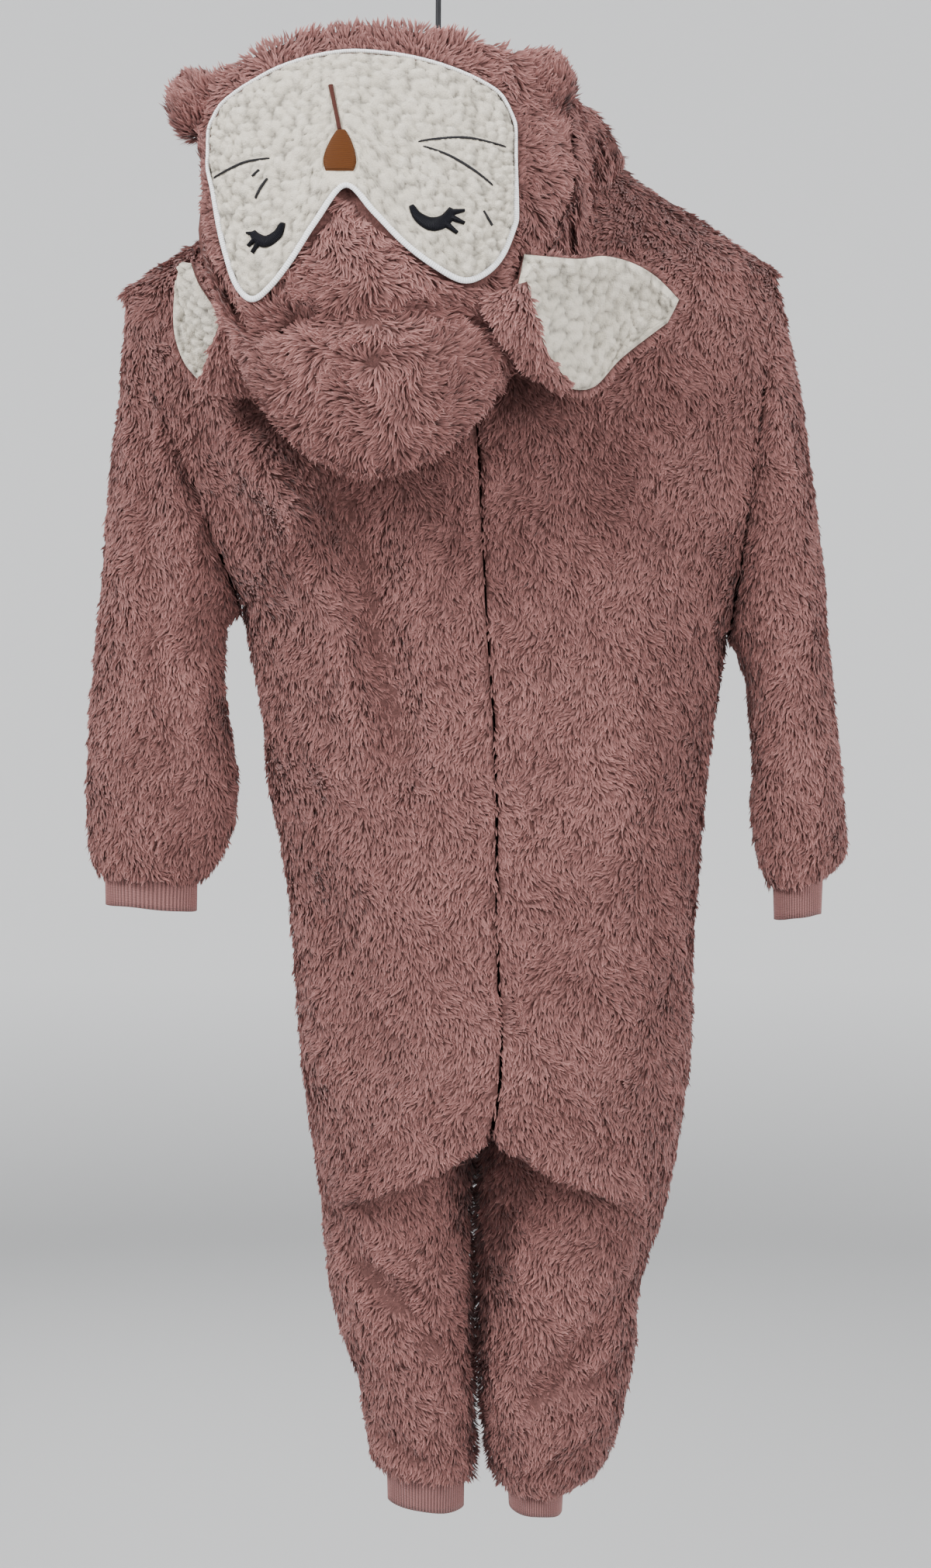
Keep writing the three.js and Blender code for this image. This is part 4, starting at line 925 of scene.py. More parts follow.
class Shader:
    """A material's node tree with short calls to add nodes and links."""

    def __init__(self, name):
        self.material = bpy.data.materials.new(f"{name}_finish")
        self.material.use_nodes = True
        self.tree = self.material.node_tree
        self.surface = self.tree.nodes["Principled BSDF"]

    def node(self, kind, inputs=None, **values):
        """Adds a node, sets its properties and its sockets."""
        made = self.tree.nodes.new(f"ShaderNode{kind}")
        for key, value in values.items():
            setattr(made, key, value)
        for key, value in (inputs or {}).items():
            if isinstance(value, bpy.types.NodeSocket):
                self.tree.links.new(value, made.inputs[key])
            else:
                made.inputs[key].default_value = value
        return made

    def ramp(self, value, stops):
        """A colour ramp over a value, from places and colours."""
        made = self.node("ValToRGB", {"Fac": value})
        elements = made.color_ramp.elements
        while len(elements) < len(stops):
            elements.new(0.5)
        for element, (place, colour) in zip(elements, stops):
            element.position = place
            element.color = (*colour, 1)
        return made.outputs["Color"]

    def mix(self, factor, a, b, blend="MIX"):
        """Mixes two colours."""
        made = self.node("Mix", data_type="RGBA", blend_type=blend)
        for socket, value in ((made.inputs[0], factor), (made.inputs[6], a), (made.inputs[7], b)):
            if isinstance(value, bpy.types.NodeSocket):
                self.tree.links.new(value, socket)
            elif socket.type == "RGBA":
                socket.default_value = (*value, 1)
            else:
                socket.default_value = value
        return made.outputs[2]

    def span(self, value, low, high):
        """A value's way from low to high, from 0 to 1."""
        return self.node("MapRange", {"Value": value, "From Min": low, "From Max": high}).outputs["Result"]

    def sine(self, value, pitch):
        """Sine waves over a value, with a pitch in its own units."""
        turn = self.node("Math", {0: value, 1: 2 * math.pi / pitch}, operation="MULTIPLY").outputs[0]
        return self.node("Math", {0: turn}, operation="SINE").outputs[0]

    def noise(self, vector, scale, detail=3.0):
        """Noise over a vector."""
        return self.node("TexNoise", {"Vector": vector, "Scale": scale, "Detail": detail}).outputs["Fac"]

    def bump(self, height, distance, strength=1.0):
        """Bumps the surface by a height in metres times distance."""
        made = self.node("Bump", {"Height": height, "Distance": distance, "Strength": strength})
        self.tree.links.new(made.outputs["Normal"], self.surface.inputs["Normal"])

    def set(self, colour=None, **values):
        """Links or sets the surface's colour and sets its other sockets."""
        if isinstance(colour, bpy.types.NodeSocket):
            self.tree.links.new(colour, self.surface.inputs["Base Color"])
        elif colour is not None:
            self.surface.inputs["Base Color"].default_value = (*colour, 1)
        for key, value in values.items():
            self.surface.inputs[key.replace("_", " ").title().replace("Ior", "IOR")].default_value = value
        return self.material

    def place(self):
        """Object coordinates, in metres."""
        return self.node("TexCoord").outputs["Object"]

    def uv(self):
        """The two parts of the piece's own UV map."""
        made = self.node("SeparateXYZ", {"Vector": self.node("UVMap", uv_map="UVMap").outputs["UV"]})
        return made.outputs["X"], made.outputs["Y"]


def times(colour, factor):
    """A darker or lighter colour."""
    return tuple(min(1.0, value * factor) for value in colour)


def plush_pile():
    """Dusty rose locks: painted shade darkens them at the root and the tip is paler, a little different from
    lock to lock, and painted light makes them paler where the hood stands out. Some light passes through
    them."""
    look = Shader("plush_pile")
    rose = settings().rose
    own, way = look.uv()
    tip = settings().rose_tip
    # Painted shade: the locks darken towards the root, where shade falls between them; the paler tip is the
    # tips' own colour.
    root_shade_and_tip = look.ramp(way, [(0.0, times(rose, 0.34)), (0.34, times(rose, 0.64)),
                                 (0.8, times(rose, 1.03)), (1.0, tip)])
    varied = look.ramp(own, [(0.0, (0.74, 0.70, 0.70)), (0.5, (0.98, 0.98, 0.98)), (1.0, (1.2, 1.17, 1.16))])
    patch = look.ramp(look.noise(look.place(), 14), [(0.3, (0.86, 0.83, 0.83)), (0.7, (1.12, 1.12, 1.12))])
    # Painted light: the pile is made lighter where the hood stands out towards the lamps.
    depth = look.node("SeparateXYZ", {"Vector": look.place()}).outputs["Y"]
    near = look.span(depth, -0.12, -0.19)
    painted_light_near = look.ramp(near, [(0.0, (1, 1, 1)), (1.0, (1.2, 1.24, 1.24))])
    colour = look.mix(1.0, look.mix(1.0, root_shade_and_tip, varied, "MULTIPLY"), patch, "MULTIPLY")
    colour = look.mix(1.0, colour, painted_light_near, "MULTIPLY")
    through = look.node("BsdfTranslucent", {"Color": colour})
    both = look.node("MixShader", {0: 0.32, 1: look.surface.outputs["BSDF"], 2: through.outputs["BSDF"]})
    look.tree.links.new(both.outputs["Shader"], look.tree.nodes["Material Output"].inputs["Surface"])
    return look.set(colour, roughness=0.72, specular_ior_level=0.18, sheen_weight=0.25, sheen_roughness=0.5)


def plush_backing():
    """The knit that carries the pile: coloured dark as painted shade between the roots, with a fine grain."""
    look = Shader("plush_backing")
    rose = settings().rose
    place = look.place()
    # Painted shade: the knit is coloured dark where shade falls between the roots of the locks; the noise
    # varies its tone.
    colour = look.ramp(look.noise(place, 420), [(0.3, times(rose, 0.25)), (0.7, times(rose, 0.45))])
    look.bump(look.noise(place, 900, 2), 0.0006)
    return look.set(colour, roughness=0.95, specular_ior_level=0.1)


def sherpa():
    """Cream sherpa: fine curls over the knobs, shaded between them, with a few grey specks."""
    look = Shader("sherpa")
    cream = settings().cream
    place = look.place()
    height, own = look.uv()
    shade = look.ramp(height, [(0.0, times(cream, 0.32)), (0.16, times(cream, 0.6)),
                               (0.45, times(cream, 0.9)), (1.0, times(cream, 1.04))])
    tint = look.ramp(own, [(0.0, (0.95, 0.94, 0.92)), (1.0, (1.03, 1.03, 1.04))])
    specks = look.ramp(look.noise(place, 480, 1), [(0.73, (1, 1, 1)), (0.79, (0.66, 0.66, 0.68))])
    colour = look.mix(1.0, look.mix(1.0, shade, tint, "MULTIPLY"), specks, "MULTIPLY")
    look.bump(look.noise(place, 1100, 3), 0.0014)
    return look.set(colour, roughness=0.9, specular_ior_level=0.15, sheen_weight=0.2)


def satin(name, colour, pitch, gloss=0.4):
    """Satin stitch: threads side by side across the stroke, with a soft gloss."""
    look = Shader(name)
    _, run = look.uv()
    level = look.span(look.sine(run, pitch), -1.0, 1.0)
    shade = look.ramp(level, [(0.0, times(colour, 0.74)), (0.6, colour), (1.0, times(colour, 1.15))])
    look.bump(level, 0.0003)
    return look.set(shade, roughness=0.5, specular_ior_level=gloss)


def rib_knit():
    """Rose rib knit: stitches in columns on the ribs, darker in the furrows."""
    look = Shader("rib_knit")
    rib = settings().rib
    level, up = look.uv()
    stitch = 0.0011
    shade = look.ramp(level, [(0.0, times(rib, 0.45)), (0.5, times(rib, 0.85)), (1.0, times(rib, 1.12))])
    look.bump(look.sine(up, stitch), 0.00018)
    return look.set(shade, roughness=0.85, specular_ior_level=0.2, sheen_weight=0.2)


def zip_tape():
    """Woven zip tape: a fine twill."""
    look = Shader("zip_tape")
    weave = look.node("TexWave", {"Vector": look.place(), "Scale": 420.0, "Distortion": 0.4},
                      bands_direction="DIAGONAL")
    rose = settings().rose
    colour = look.ramp(weave.outputs["Fac"], [(0.0, times(rose, 0.6)), (1.0, times(rose, 1.1))])
    look.bump(weave.outputs["Fac"], 0.0002)
    return look.set(colour, roughness=0.7)


def zip_metal():
    """Painted zip parts: satin, with small scuffs."""
    look = Shader("zip_metal")
    colour = look.ramp(look.noise(look.place(), 900), [(0.35, (0.2, 0.12, 0.11)), (0.65, (0.28, 0.18, 0.17))])
    return look.set(colour, roughness=0.4, metallic=0.4)


def moulded_black(name, roughness):
    """Black plastic or painted wire with a faint grain."""
    look = Shader(name)
    place = look.place()
    colour = look.ramp(look.noise(place, 60), [(0.3, (0.005, 0.005, 0.007)), (0.7, (0.011, 0.011, 0.014))])
    look.bump(look.noise(place, 1600, 2), 0.0001)
    return look.set(colour, roughness=roughness, specular_ior_level=0.25)


def studio_grey():
    """The plain pale floor and its rounded surround, with painted shade that makes it a little darker towards
    the floor.
    """
    look = Shader("studio_grey")
    pale = settings().pale
    height = look.node("SeparateXYZ", {"Vector": look.place()}).outputs["Z"]
    # Painted shade: the surround darkens from its wall down to the floor.
    level = look.span(height, STAGE["floor"], -1.2)
    colour = look.ramp(level, [(0.0, times(pale, 0.66)), (1.0, times(pale, 1.13))])
    return look.set(colour, roughness=0.9, specular_ior_level=0.1)


FINISHES = {
    "plush_pile": plush_pile,
    "plush_backing": plush_backing,
    "sherpa": sherpa,
    "white_satin": lambda: satin("white_satin", settings().white_thread, 0.0016),
    "black_satin": lambda: satin("black_satin", (0.006, 0.006, 0.009), 0.0009, 0.1),
    "brown_satin": lambda: satin("brown_satin", settings().brown_thread, 0.0009, 0.2),
    "dark_brown_satin": lambda: satin("dark_brown_satin", (0.075, 0.022, 0.016), 0.0009, 0.2),
    "grey_thread": lambda: satin("grey_thread", (0.03, 0.03, 0.034), 0.0012, 0.1),
    "rib_knit": rib_knit,
    "zip_tape": zip_tape,
    "zip_metal": zip_metal,
    "hanger_plastic": lambda: moulded_black("hanger_plastic", 0.45),
    "hanger_wire": lambda: moulded_black("hanger_wire", 0.5),
    "studio_grey": studio_grey,
}


def finish(name):
    """The named material, made the first time that a piece asks for it."""
    return bpy.data.materials.get(f"{name}_finish") or FINISHES[name]()


# Settings that a user would change


class ONESIE_PG_settings(bpy.types.PropertyGroup):
    """Colours and sizes of the onesie."""

    pile_density: FloatProperty(name="Pile density", description="Share of the full count of locks",
                                default=1.0, min=0.1, max=1.2)
    knob_height: FloatProperty(name="Sherpa knobs", description="How far the knobs of the sherpa stand out",
                               default=0.0044, unit="LENGTH")
    rose: FloatVectorProperty(name="Plush", description="Colour of the plush on the side of its locks",
                              default=(0.33, 0.152, 0.138), subtype="COLOR", size=3)
    rose_tip: FloatVectorProperty(name="Plush tips", description="Colour of the tips of the locks",
                                  default=(0.59, 0.345, 0.32), subtype="COLOR", size=3)
    cream: FloatVectorProperty(name="Sherpa", description="Colour of the face and the ear linings",
                               default=(0.75, 0.685, 0.57), subtype="COLOR", size=3)
    rib: FloatVectorProperty(name="Rib knit", description="Colour of the cuffs",
                             default=(0.255, 0.115, 0.107), subtype="COLOR", size=3)
    white_thread: FloatVectorProperty(name="White thread", description="Colour of the face's stitched edge",
                                      default=(0.95, 0.95, 0.97), subtype="COLOR", size=3)
    brown_thread: FloatVectorProperty(name="Brown thread", description="Colour of the nose",
                                      default=(0.098, 0.031, 0.006), subtype="COLOR", size=3)
    pale: FloatVectorProperty(name="Studio", description="Colour of the floor and its surround",
                              default=(0.8, 0.8, 0.8), subtype="COLOR", size=3)


def settings():
    """The settings kept on the scene."""
    return bpy.context.scene.onesie


# Makers of the pieces


def make_body(side, face, seed):
    """One body panel with its pile, which leaves the zip free and stands up along the inseams."""
    sign = (1 if face == "back" else -1) * (1 if side == "right" else -1)

    def beside_zip(points, u, v):
        off = np.abs(points[:, 0] - zip_line(points[:, 2])[0])
        return (off > ZIP_CLEAR) | (points[:, 2] < ZIP_END)

    def inseam(points, u, v):
        return {"lift": PILES["body"]["lift"] + 0.62 * smooth(u - LEG_ROW) * np.exp(-v / 0.06)}

    def seams(u, v):
        return 6 * np.minimum(1 - v, v + 1 - smooth(u - LEG_ROW))

    plush(f"{face}_{side}", body_cloth(side, face), ((0, LAST_ROW), (0, 1)), GRIDS["body"], sign, comb_body,
          PILES["body"], seed, keep=beside_zip if face == "front" else None, seams=seams, style=inseam)


def stroke_points(stroke, steps):
    """Places and widths along a stroke of stitches, the direction across it, and its run in metres."""
    line = along(stroke, np.linspace(0, len(stroke) - 1, steps))
    step = np.gradient(line[:, :2], axis=0)
    run = np.concatenate([[0], np.cumsum(np.linalg.norm(np.diff(line[:, :2], axis=0), axis=1))]) * MM
    across = unit(np.stack([step[:, 1], -step[:, 0]], -1))
    return line, across, run


def add_strokes(name, strokes, base, height, material, stands_for=(), steps=26, width_steps=7):
    """Satin stitch laid on the face: each stroke is a low dome across its width, thin at both ends, whose
    edges go down into the pile."""
    points, faces, uvs, first = [], [], [], 0
    for stroke in strokes:
        line, across, run = stroke_points(stroke, steps)
        s = np.linspace(-1, 1, width_steps)
        half = line[:, 2] / 2
        x = line[:, :1] + across[:, :1] * half[:, None] * s
        z = line[:, 1:2] + across[:, 1:2] * half[:, None] * s
        place, normal = on_hood(x, z)
        dome = base + height * np.sqrt(np.clip(1 - s * s, 0, 1))
        ends = smooth(np.minimum(np.arange(steps), np.arange(steps)[::-1]) / 1.5)[:, None]
        edge = base - STITCH_SINK
        top = place + normal * (edge + (dome - base + STITCH_SINK) * (0.35 + 0.65 * ends))[..., None]
        foot = place + normal * (base - STITCH_FOOT)
        body, body_faces = wall(top, foot)
        points.append(body)
        faces.append(body_faces + first)
        first += len(body)
        run_grid = np.repeat(run[:, None], width_steps, 1)
        uvs.append(both_sides(np.broadcast_to(s, run_grid.shape), run_grid))
    return add_piece(name, np.concatenate(points), np.concatenate(faces), finish(material),
                     stands_for, uv=np.concatenate(uvs))


def face_outline(steps=420):
    """The face's edge as a closed loop of places: the upper edge from left to right, and the lower back."""
    place = np.linspace(0, len(FACE) - 1, steps // 2)
    row = along(FACE, place)
    loop = np.concatenate([row[:, :2], row[::-1][:, [0, 2]]])
    gaps = np.linalg.norm(np.roll(loop, -1, 0) - loop, axis=1)
    run = np.concatenate([[0], np.cumsum(gaps)])
    even = np.linspace(0, run[-1], steps, endpoint=False)
    closed = np.vstack([loop, loop[:1]])
    even_loop = np.stack([np.interp(even, run, closed[:, k]) for k in (0, 1)], -1)
    for _ in range(6):
        even_loop = (np.roll(even_loop, 1, 0) + 2 * even_loop + np.roll(even_loop, -1, 0)) / 4
    return even_loop, even


def face_sheet():
    """The cream face: places between the upper and the lower edge, raised off the hood with knobs, and
    sunk at its edges."""
    rows, columns = GRIDS["face"]
    u, s = np.meshgrid(np.linspace(0, len(FACE) - 1, rows), np.linspace(0, 1, columns), indexing="ij")
    row = along(FACE, u)
    x = row[..., 0]
    z = row[..., 1] + (row[..., 2] - row[..., 1]) * s
    place, normal = on_hood(x, z)
    outline, _ = face_outline(240)
    inside = smooth(gap_to(outline, x, z) / 3.2)
    pressed = np.full(x.shape, 9.0)
    for stroke in STROKES:
        for sx, sz, width in along(stroke, np.linspace(0, len(stroke) - 1, 18)):
            pressed = np.minimum(pressed, np.hypot(x - sx, z - sz) - width / 2)
    relief, own = curls(x, z, place, 33)
    free = 0.12 + 0.88 * smooth(pressed / 3)
    height = FACE_GAP - 1.2 + (SHERPA + 0.4) * inside + settings().knob_height / MM * relief * inside * free
    points, faces = wall(place + normal * height[..., None], place + normal * (FACE_GAP - 2))
    return add_piece("face_sherpa", points, faces, finish("sherpa"), ["face"],
                     uv=both_sides(1 - (1 - relief) * free, own))


def stitched_edge():
    """The white satin edge: a rounded cord of stitches that follows the face's outline."""
    loop, run = face_outline(560)
    place, normal = on_hood(loop[:, 0], loop[:, 1])
    tangent = unit(np.roll(place, -1, 0) - np.roll(place, 1, 0))
    beside = np.cross(tangent, normal)
    turn = np.linspace(0, 2 * np.pi, 12, endpoint=False)
    lower = smooth((-loop[:, 1] - 190) / 40)
    wide = (1.25 + 0.95 * lower)[:, None, None]
    stitch = 1 + 0.1 * np.sin(run / 1.6 * 2 * np.pi)[:, None, None]
    ring = beside[:, None] * np.cos(turn)[:, None] * wide
    ring = ring + normal[:, None] * np.sin(turn)[:, None] * 1.5 * stitch
    points = (place[:, None] + normal[:, None] * (FACE_GAP + 2.2) + ring).reshape(-1, 3)
    index = np.arange(len(points)).reshape(len(loop), len(turn))
    index = np.vstack([index, index[:1]])
    index = np.hstack([index, index[:, :1]])
    faces = np.stack([index[:-1, :-1], index[:-1, 1:], index[1:, 1:], index[1:, :-1]], -1).reshape(-1, 4)
    points, faces = facing_out(points, faces)
    uv = np.stack([np.tile(turn, len(loop)), np.repeat(run * MM, len(turn))], -1)
    return add_piece("face_stitched_edge", points, faces, finish("white_satin"), uv=uv)


def ear_pair(side, seed):
    """An ear: its sherpa lining raised in knobs, its plush back with pile, and the edge of the plush that
    shows beside the lining."""
    cloth = ear_cloth(side)
    last = len(EARS[side]) - 1
    rows, columns = GRIDS[f"ear_{side}"]
    u, s = np.meshgrid(np.linspace(0, last, rows), np.linspace(0, 1, columns), indexing="ij")
    grid = cloth(u, s)
    normals, sign = room_side(grid)
    span = np.linalg.norm(grid[:, -1] - grid[:, 0], axis=-1)[:, None]
    gap = np.minimum(np.minimum(s, 1 - s) * span, np.minimum(u, last - u) / last * 130)
    inside = smooth(gap / 4)
    relief, own = curls(u / last * 112, s * span * 0.86, grid, seed)
    height = 0.3 + SHERPA * (0.25 + 0.75 * inside) + settings().knob_height / MM * relief * inside
    points, faces = wall(grid + normals * height[..., None], grid + normals * 0.3)
    lining = add_piece(f"ear_lining_{side}_sherpa", points, faces, finish("sherpa"),
                       [f"ear_lining_{side}"], uv=both_sides(relief, own))
    comb = comb_from(grid[0, columns // 2])
    points, faces = wall(grid[::4, ::4], (grid - normals * THIN_BACKING)[::4, ::4])
    back = add_piece(f"ear_back_{side}_cloth", points, faces, finish("plush_backing"),
                     [f"ear_back_{side}"])
    rng = np.random.default_rng(seed)
    roots = scatter(cloth, (0, last), (0, 1), PILES["ear"], -sign, rng, times_as_many=2)
    count = len(roots[0])
    edge = 0.16
    rim = rng.random(count) < 0.35
    first_edge = rng.random(count) < 0.5
    folded = np.where(first_edge, rng.random(count) * edge, 1 - rng.random(count) * edge)
    roots = roots[0], np.where(rim, folded, roots[1])
    hair = grow_locks(f"ear_back_{side}", cloth, roots, -sign, comb, PILES["ear"], rng, -0.8)
    turned = turned_edge(side, seed + 10)


def turned_edge(side, seed):
    """The strip of an ear's plush back that turns over beside the lining, with its pile. It runs from line
    to line of its table, and bulges towards the room."""
    lines = np.array(TURNED[side])

    def strip(place, s):
        row = along(lines, place)
        points = row[..., :3] + (row[..., 3:] - row[..., :3]) * s[..., None]
        points[..., 1] -= 4 * np.sin(np.pi * s)
        return points

    last = len(lines) - 1
    rows, columns = GRIDS["ear_edge"]
    u, s = np.meshgrid(np.linspace(0, last, rows), np.linspace(0, 1, columns), indexing="ij")
    grid = strip(u, s)
    normals, sign = room_side(grid)
    points, faces = wall(grid, grid - normals * THIN_BACKING)
    cloth = add_piece(f"ear_edge_{side}_cloth", points, faces, finish("plush_backing"))
    rng = np.random.default_rng(seed)
    roots = scatter(strip, (0, last), (0, 1), PILES["ear"], sign, rng, times_as_many=1.4)
    hair = grow_locks(f"ear_edge_{side}", strip, roots, sign, comb_from(grid[0, 0]), PILES["ear"], rng, 0)
    return cloth, hair


def cuff_shape(name):
    """Centre, half width, half depth and tilt of a cuff, fitted inside its hem."""
    where, side = name.split("_")
    if where == "wrist":
        ox, oz, ix, iz, deep = SLEEVES[side][-1]
    else:
        hem = BODY_ROWS[side][-1]
        ox, oz, ix, iz, deep = hem[OX], hem[OZ], hem[CX], hem[CZ], min(hem[BACK], hem[FRONT])
    inset = CLOTH + 0.7
    half = abs(ox - ix) / 2 - inset
    tilt = (1 if ox > ix else -1) * (oz - iz) / 2 * half / (half + inset)
    return (ox + ix) / 2, (oz + iz) / 2, half, deep - inset, tilt


def rib_cuff(name, seed):
    """A rib knit cuff: an oval tube whose radius rises and falls with the ribs, a little narrower and
    waved at its free edge, turned in at the foot."""
    cuff = CUFFS[name]
    x, z, half, deep, tilt = cuff_shape(name)
    turn = np.linspace(0, 2 * np.pi, cuff["ribs"] * 5, endpoint=False)[None]
    part = np.linspace(0, 1, 9)[:, None]
    rib = 0.5 + 0.5 * np.cos(cuff["ribs"] * turn)
    rng = np.random.default_rng(seed)
    wave = sum(np.sin(k * turn + rng.uniform(0, 6.3)) / k for k in (2, 3, 5))

    def tube(inset, ribs):
        pull = inset + 1.2 * part + 0.9 * wave * part - ribs * 0.9 * rib
        drop = cuff["rise"] - (cuff["length"] + 1.2 * wave) * part
        across = np.cos(turn) * (half - pull)
        away = np.sin(turn) * (deep - pull)
        return np.stack([x + across, away, z + drop + tilt * np.cos(turn)], -1)

    points, faces = wall(tube(0.9, 1), tube(2.9, 0), closed=True)
    level = np.broadcast_to(rib, (9, turn.size))
    up = np.broadcast_to(part * cuff["length"] * MM, level.shape)
    where, side = name.split("_")
    node = f"{where}_cuff_{side}"
    piece = add_piece(f"{node}_knit", points, faces, finish("rib_knit"), [node],
                      uv=both_sides(level, up))


def tube_along(path, radius, sides=12):
    """A round tube carried along a path of points, with closed ends."""
    tangent = unit(np.gradient(path, axis=0))
    side = unit(np.cross(tangent, (0, 1.0, 0)))
    up = np.cross(side, tangent)
    turn = np.linspace(0, 2 * np.pi, sides, endpoint=False)
    ring = side[:, None] * np.cos(turn)[:, None] + up[:, None] * np.sin(turn)[:, None]
    points = (path[:, None] + ring * radius).reshape(-1, 3)
    faces = [grid_faces(len(path), sides, closed=True)]
    ends = np.concatenate([path[:1], path[-1:]])
    first, count = len(points), len(path)
    k = np.arange(sides)
    after = (k + 1) % sides
    caps = [np.stack([after, k, np.full(sides, first)], -1),
            np.stack([k + (count - 1) * sides, after + (count - 1) * sides, np.full(sides, first + 1)], -1)]
    return np.concatenate([points, ends]), faces + caps


def zip_line(z):
    """The front's centre at heights: place across and depth."""
    rows = BODY_ROWS["right"]
    heights = rows[:, CZ] - rows[:, DROP]
    order = np.argsort(heights)
    return np.interp(z, heights[order], rows[order, CX]), np.interp(z, heights[order], rows[order, FRONT])


def paint_node(node, material):
    """Gives a hard piece that keeps its own shape its finish."""
    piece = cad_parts[node]
    piece.data.materials.clear()
    piece.data.materials.append(finish(material))


# Operators, one for each piece or group of like pieces


class ONESIE_OT_body(bpy.types.Operator):
    """Makes the four body panels with their pile"""

    bl_idname = "onesie.body"
    bl_label = "Body Panels"

    def execute(self, context):
        for seed, (face, side) in enumerate((f, s) for f in ("back", "front") for s in ("left", "right")):
            make_body(side, face, SEEDS["body"] + seed)
        return {"FINISHED"}


class ONESIE_OT_sleeves(bpy.types.Operator):
    """Makes the two sleeves with their pile"""

    bl_idname = "onesie.sleeves"
    bl_label = "Sleeves"

    def execute(self, context):
        for seed, (side, sign) in enumerate((("left", 1), ("right", -1))):
            spans = ((0, len(SLEEVES[side]) - 1), (0, 2 * np.pi))
            plush(f"sleeve_{side}", sleeve_cloth(side), spans, GRIDS["sleeve"], sign, comb_down,
                  PILES["sleeve"], SEEDS["sleeve"] + seed, closed=True, seams=lambda u, v: 2.5 * u)
        return {"FINISHED"}


class ONESIE_OT_cuffs(bpy.types.Operator):
    """Makes the rib knit cuffs of wrists and ankles"""

    bl_idname = "onesie.cuffs"
    bl_label = "Cuffs"

    def execute(self, context):
        for seed, name in enumerate(CUFFS):
            rib_cuff(name, SEEDS["cuff"] + seed)
        return {"FINISHED"}


class ONESIE_OT_hood(bpy.types.Operator):
    """Makes the dropped hood: nape and crown, and the front round the face"""

    bl_idname = "onesie.hood"
    bl_label = "Hood"

    def execute(self, context):
        spokes = (0, len(SPOKES) - 1)
        from_crown = comb_from(np.array(CROWN), 0.25)

        def comb(points):
            hanging = smooth((-points[:, 2] - 240) / 60) * smooth((-points[:, 1] - 95) / 25)
            return comb_down(points) * (1 - hanging)[:, None] + from_crown(points) * hanging[:, None]

        sides = [side_pile(name, *how, SEEDS["side"] + k) for k, (name, how) in enumerate(SIDES.items())]
        plush("hood_back", hood_cloth, (spokes, (0, EAR_SEAM)), GRIDS["hood_back"], -1, comb, PILES["hood"],
              SEEDS["hood"])
        outline, _ = face_outline(300)

        def keep(points, u, v):
            inside = is_inside(points[:, [0, 2]], outline)
            gap = gap_to(outline, points[:, 0], points[:, 2])
            on_face = (u > 4.5) & (u < 11.5)
            return ~on_face | (~inside & (gap > 4))

        def short_band(points, u, v):
            gap = gap_to(outline, points[:, 0], points[:, 2])
            band = (points[:, 2] > -205) | (points[:, 0] < -140) | (points[:, 0] > 45)
            return {"length": PILES["hood"]["length"] * np.where(band, 0.5 + 0.5 * smooth((gap - 4) / 14), 1)}

        from_face = comb_from(np.array(FACE_MIDDLE))

        def comb_front(points):
            forehead = smooth((-points[:, 2] - 262) / 30) * (points[:, 0] > -135) * (points[:, 0] < 60)
            side = np.stack([points[:, 0] + 52, 0 * points[:, 0], 0 * points[:, 0] - 16], -1)
            return unit(from_face(points)) * (1 - forehead)[:, None] + unit(side) * forehead[:, None]

        rolls = [piece for k, side in enumerate(RIM_ROLLS) for piece in rim_roll(side, SEEDS["roll"] + k)]
        plush("hood_front", hood_cloth, (spokes, (EAR_SEAM, RIM)), GRIDS["hood_front"], -1, comb_front,
              PILES["hood"], SEEDS["hood"] + 1, keep=keep, style=short_band)
        return {"FINISHED"}


class ONESIE_OT_face(bpy.types.Operator):
    """Makes the sherpa face with its stitched edge, eyes, nose, mouth and whiskers"""

    bl_idname = "onesie.face"
    bl_label = "Face"

    def execute(self, context):
        cream = face_sheet()
        edge = stitched_edge()
        base = FACE_GAP + SHERPA + 0.9
        for side in ("left", "right"):
            nodes = [f"eye_{side}"] + [f"lash_{side}_{k}" for k in (1, 2, 3)]
            add_strokes(f"eye_{side}_stitch", EYE_STROKES[side], base, 1.6, "black_satin",
                        nodes)
        add_strokes("nose_stitch", [NOSE_STROKE], base, 1.0, "brown_satin", ["nose"],
                    width_steps=11)
        add_strokes("mouth_stitch", [MOUTH_STROKE], base, 1.2, "dark_brown_satin", ["mouth"])
        add_strokes("whisker_stitches", WHISKERS, base, 0.5, "grey_thread", width_steps=5)
        return {"FINISHED"}


class ONESIE_OT_ears(bpy.types.Operator):
    """Makes the two ears with sherpa linings and plush backs"""

    bl_idname = "onesie.ears"
    bl_label = "Ears"

    def execute(self, context):
        for seed, side in enumerate(("left", "right")):
            ear_pair(side, SEEDS["ear"] + seed)
        return {"FINISHED"}


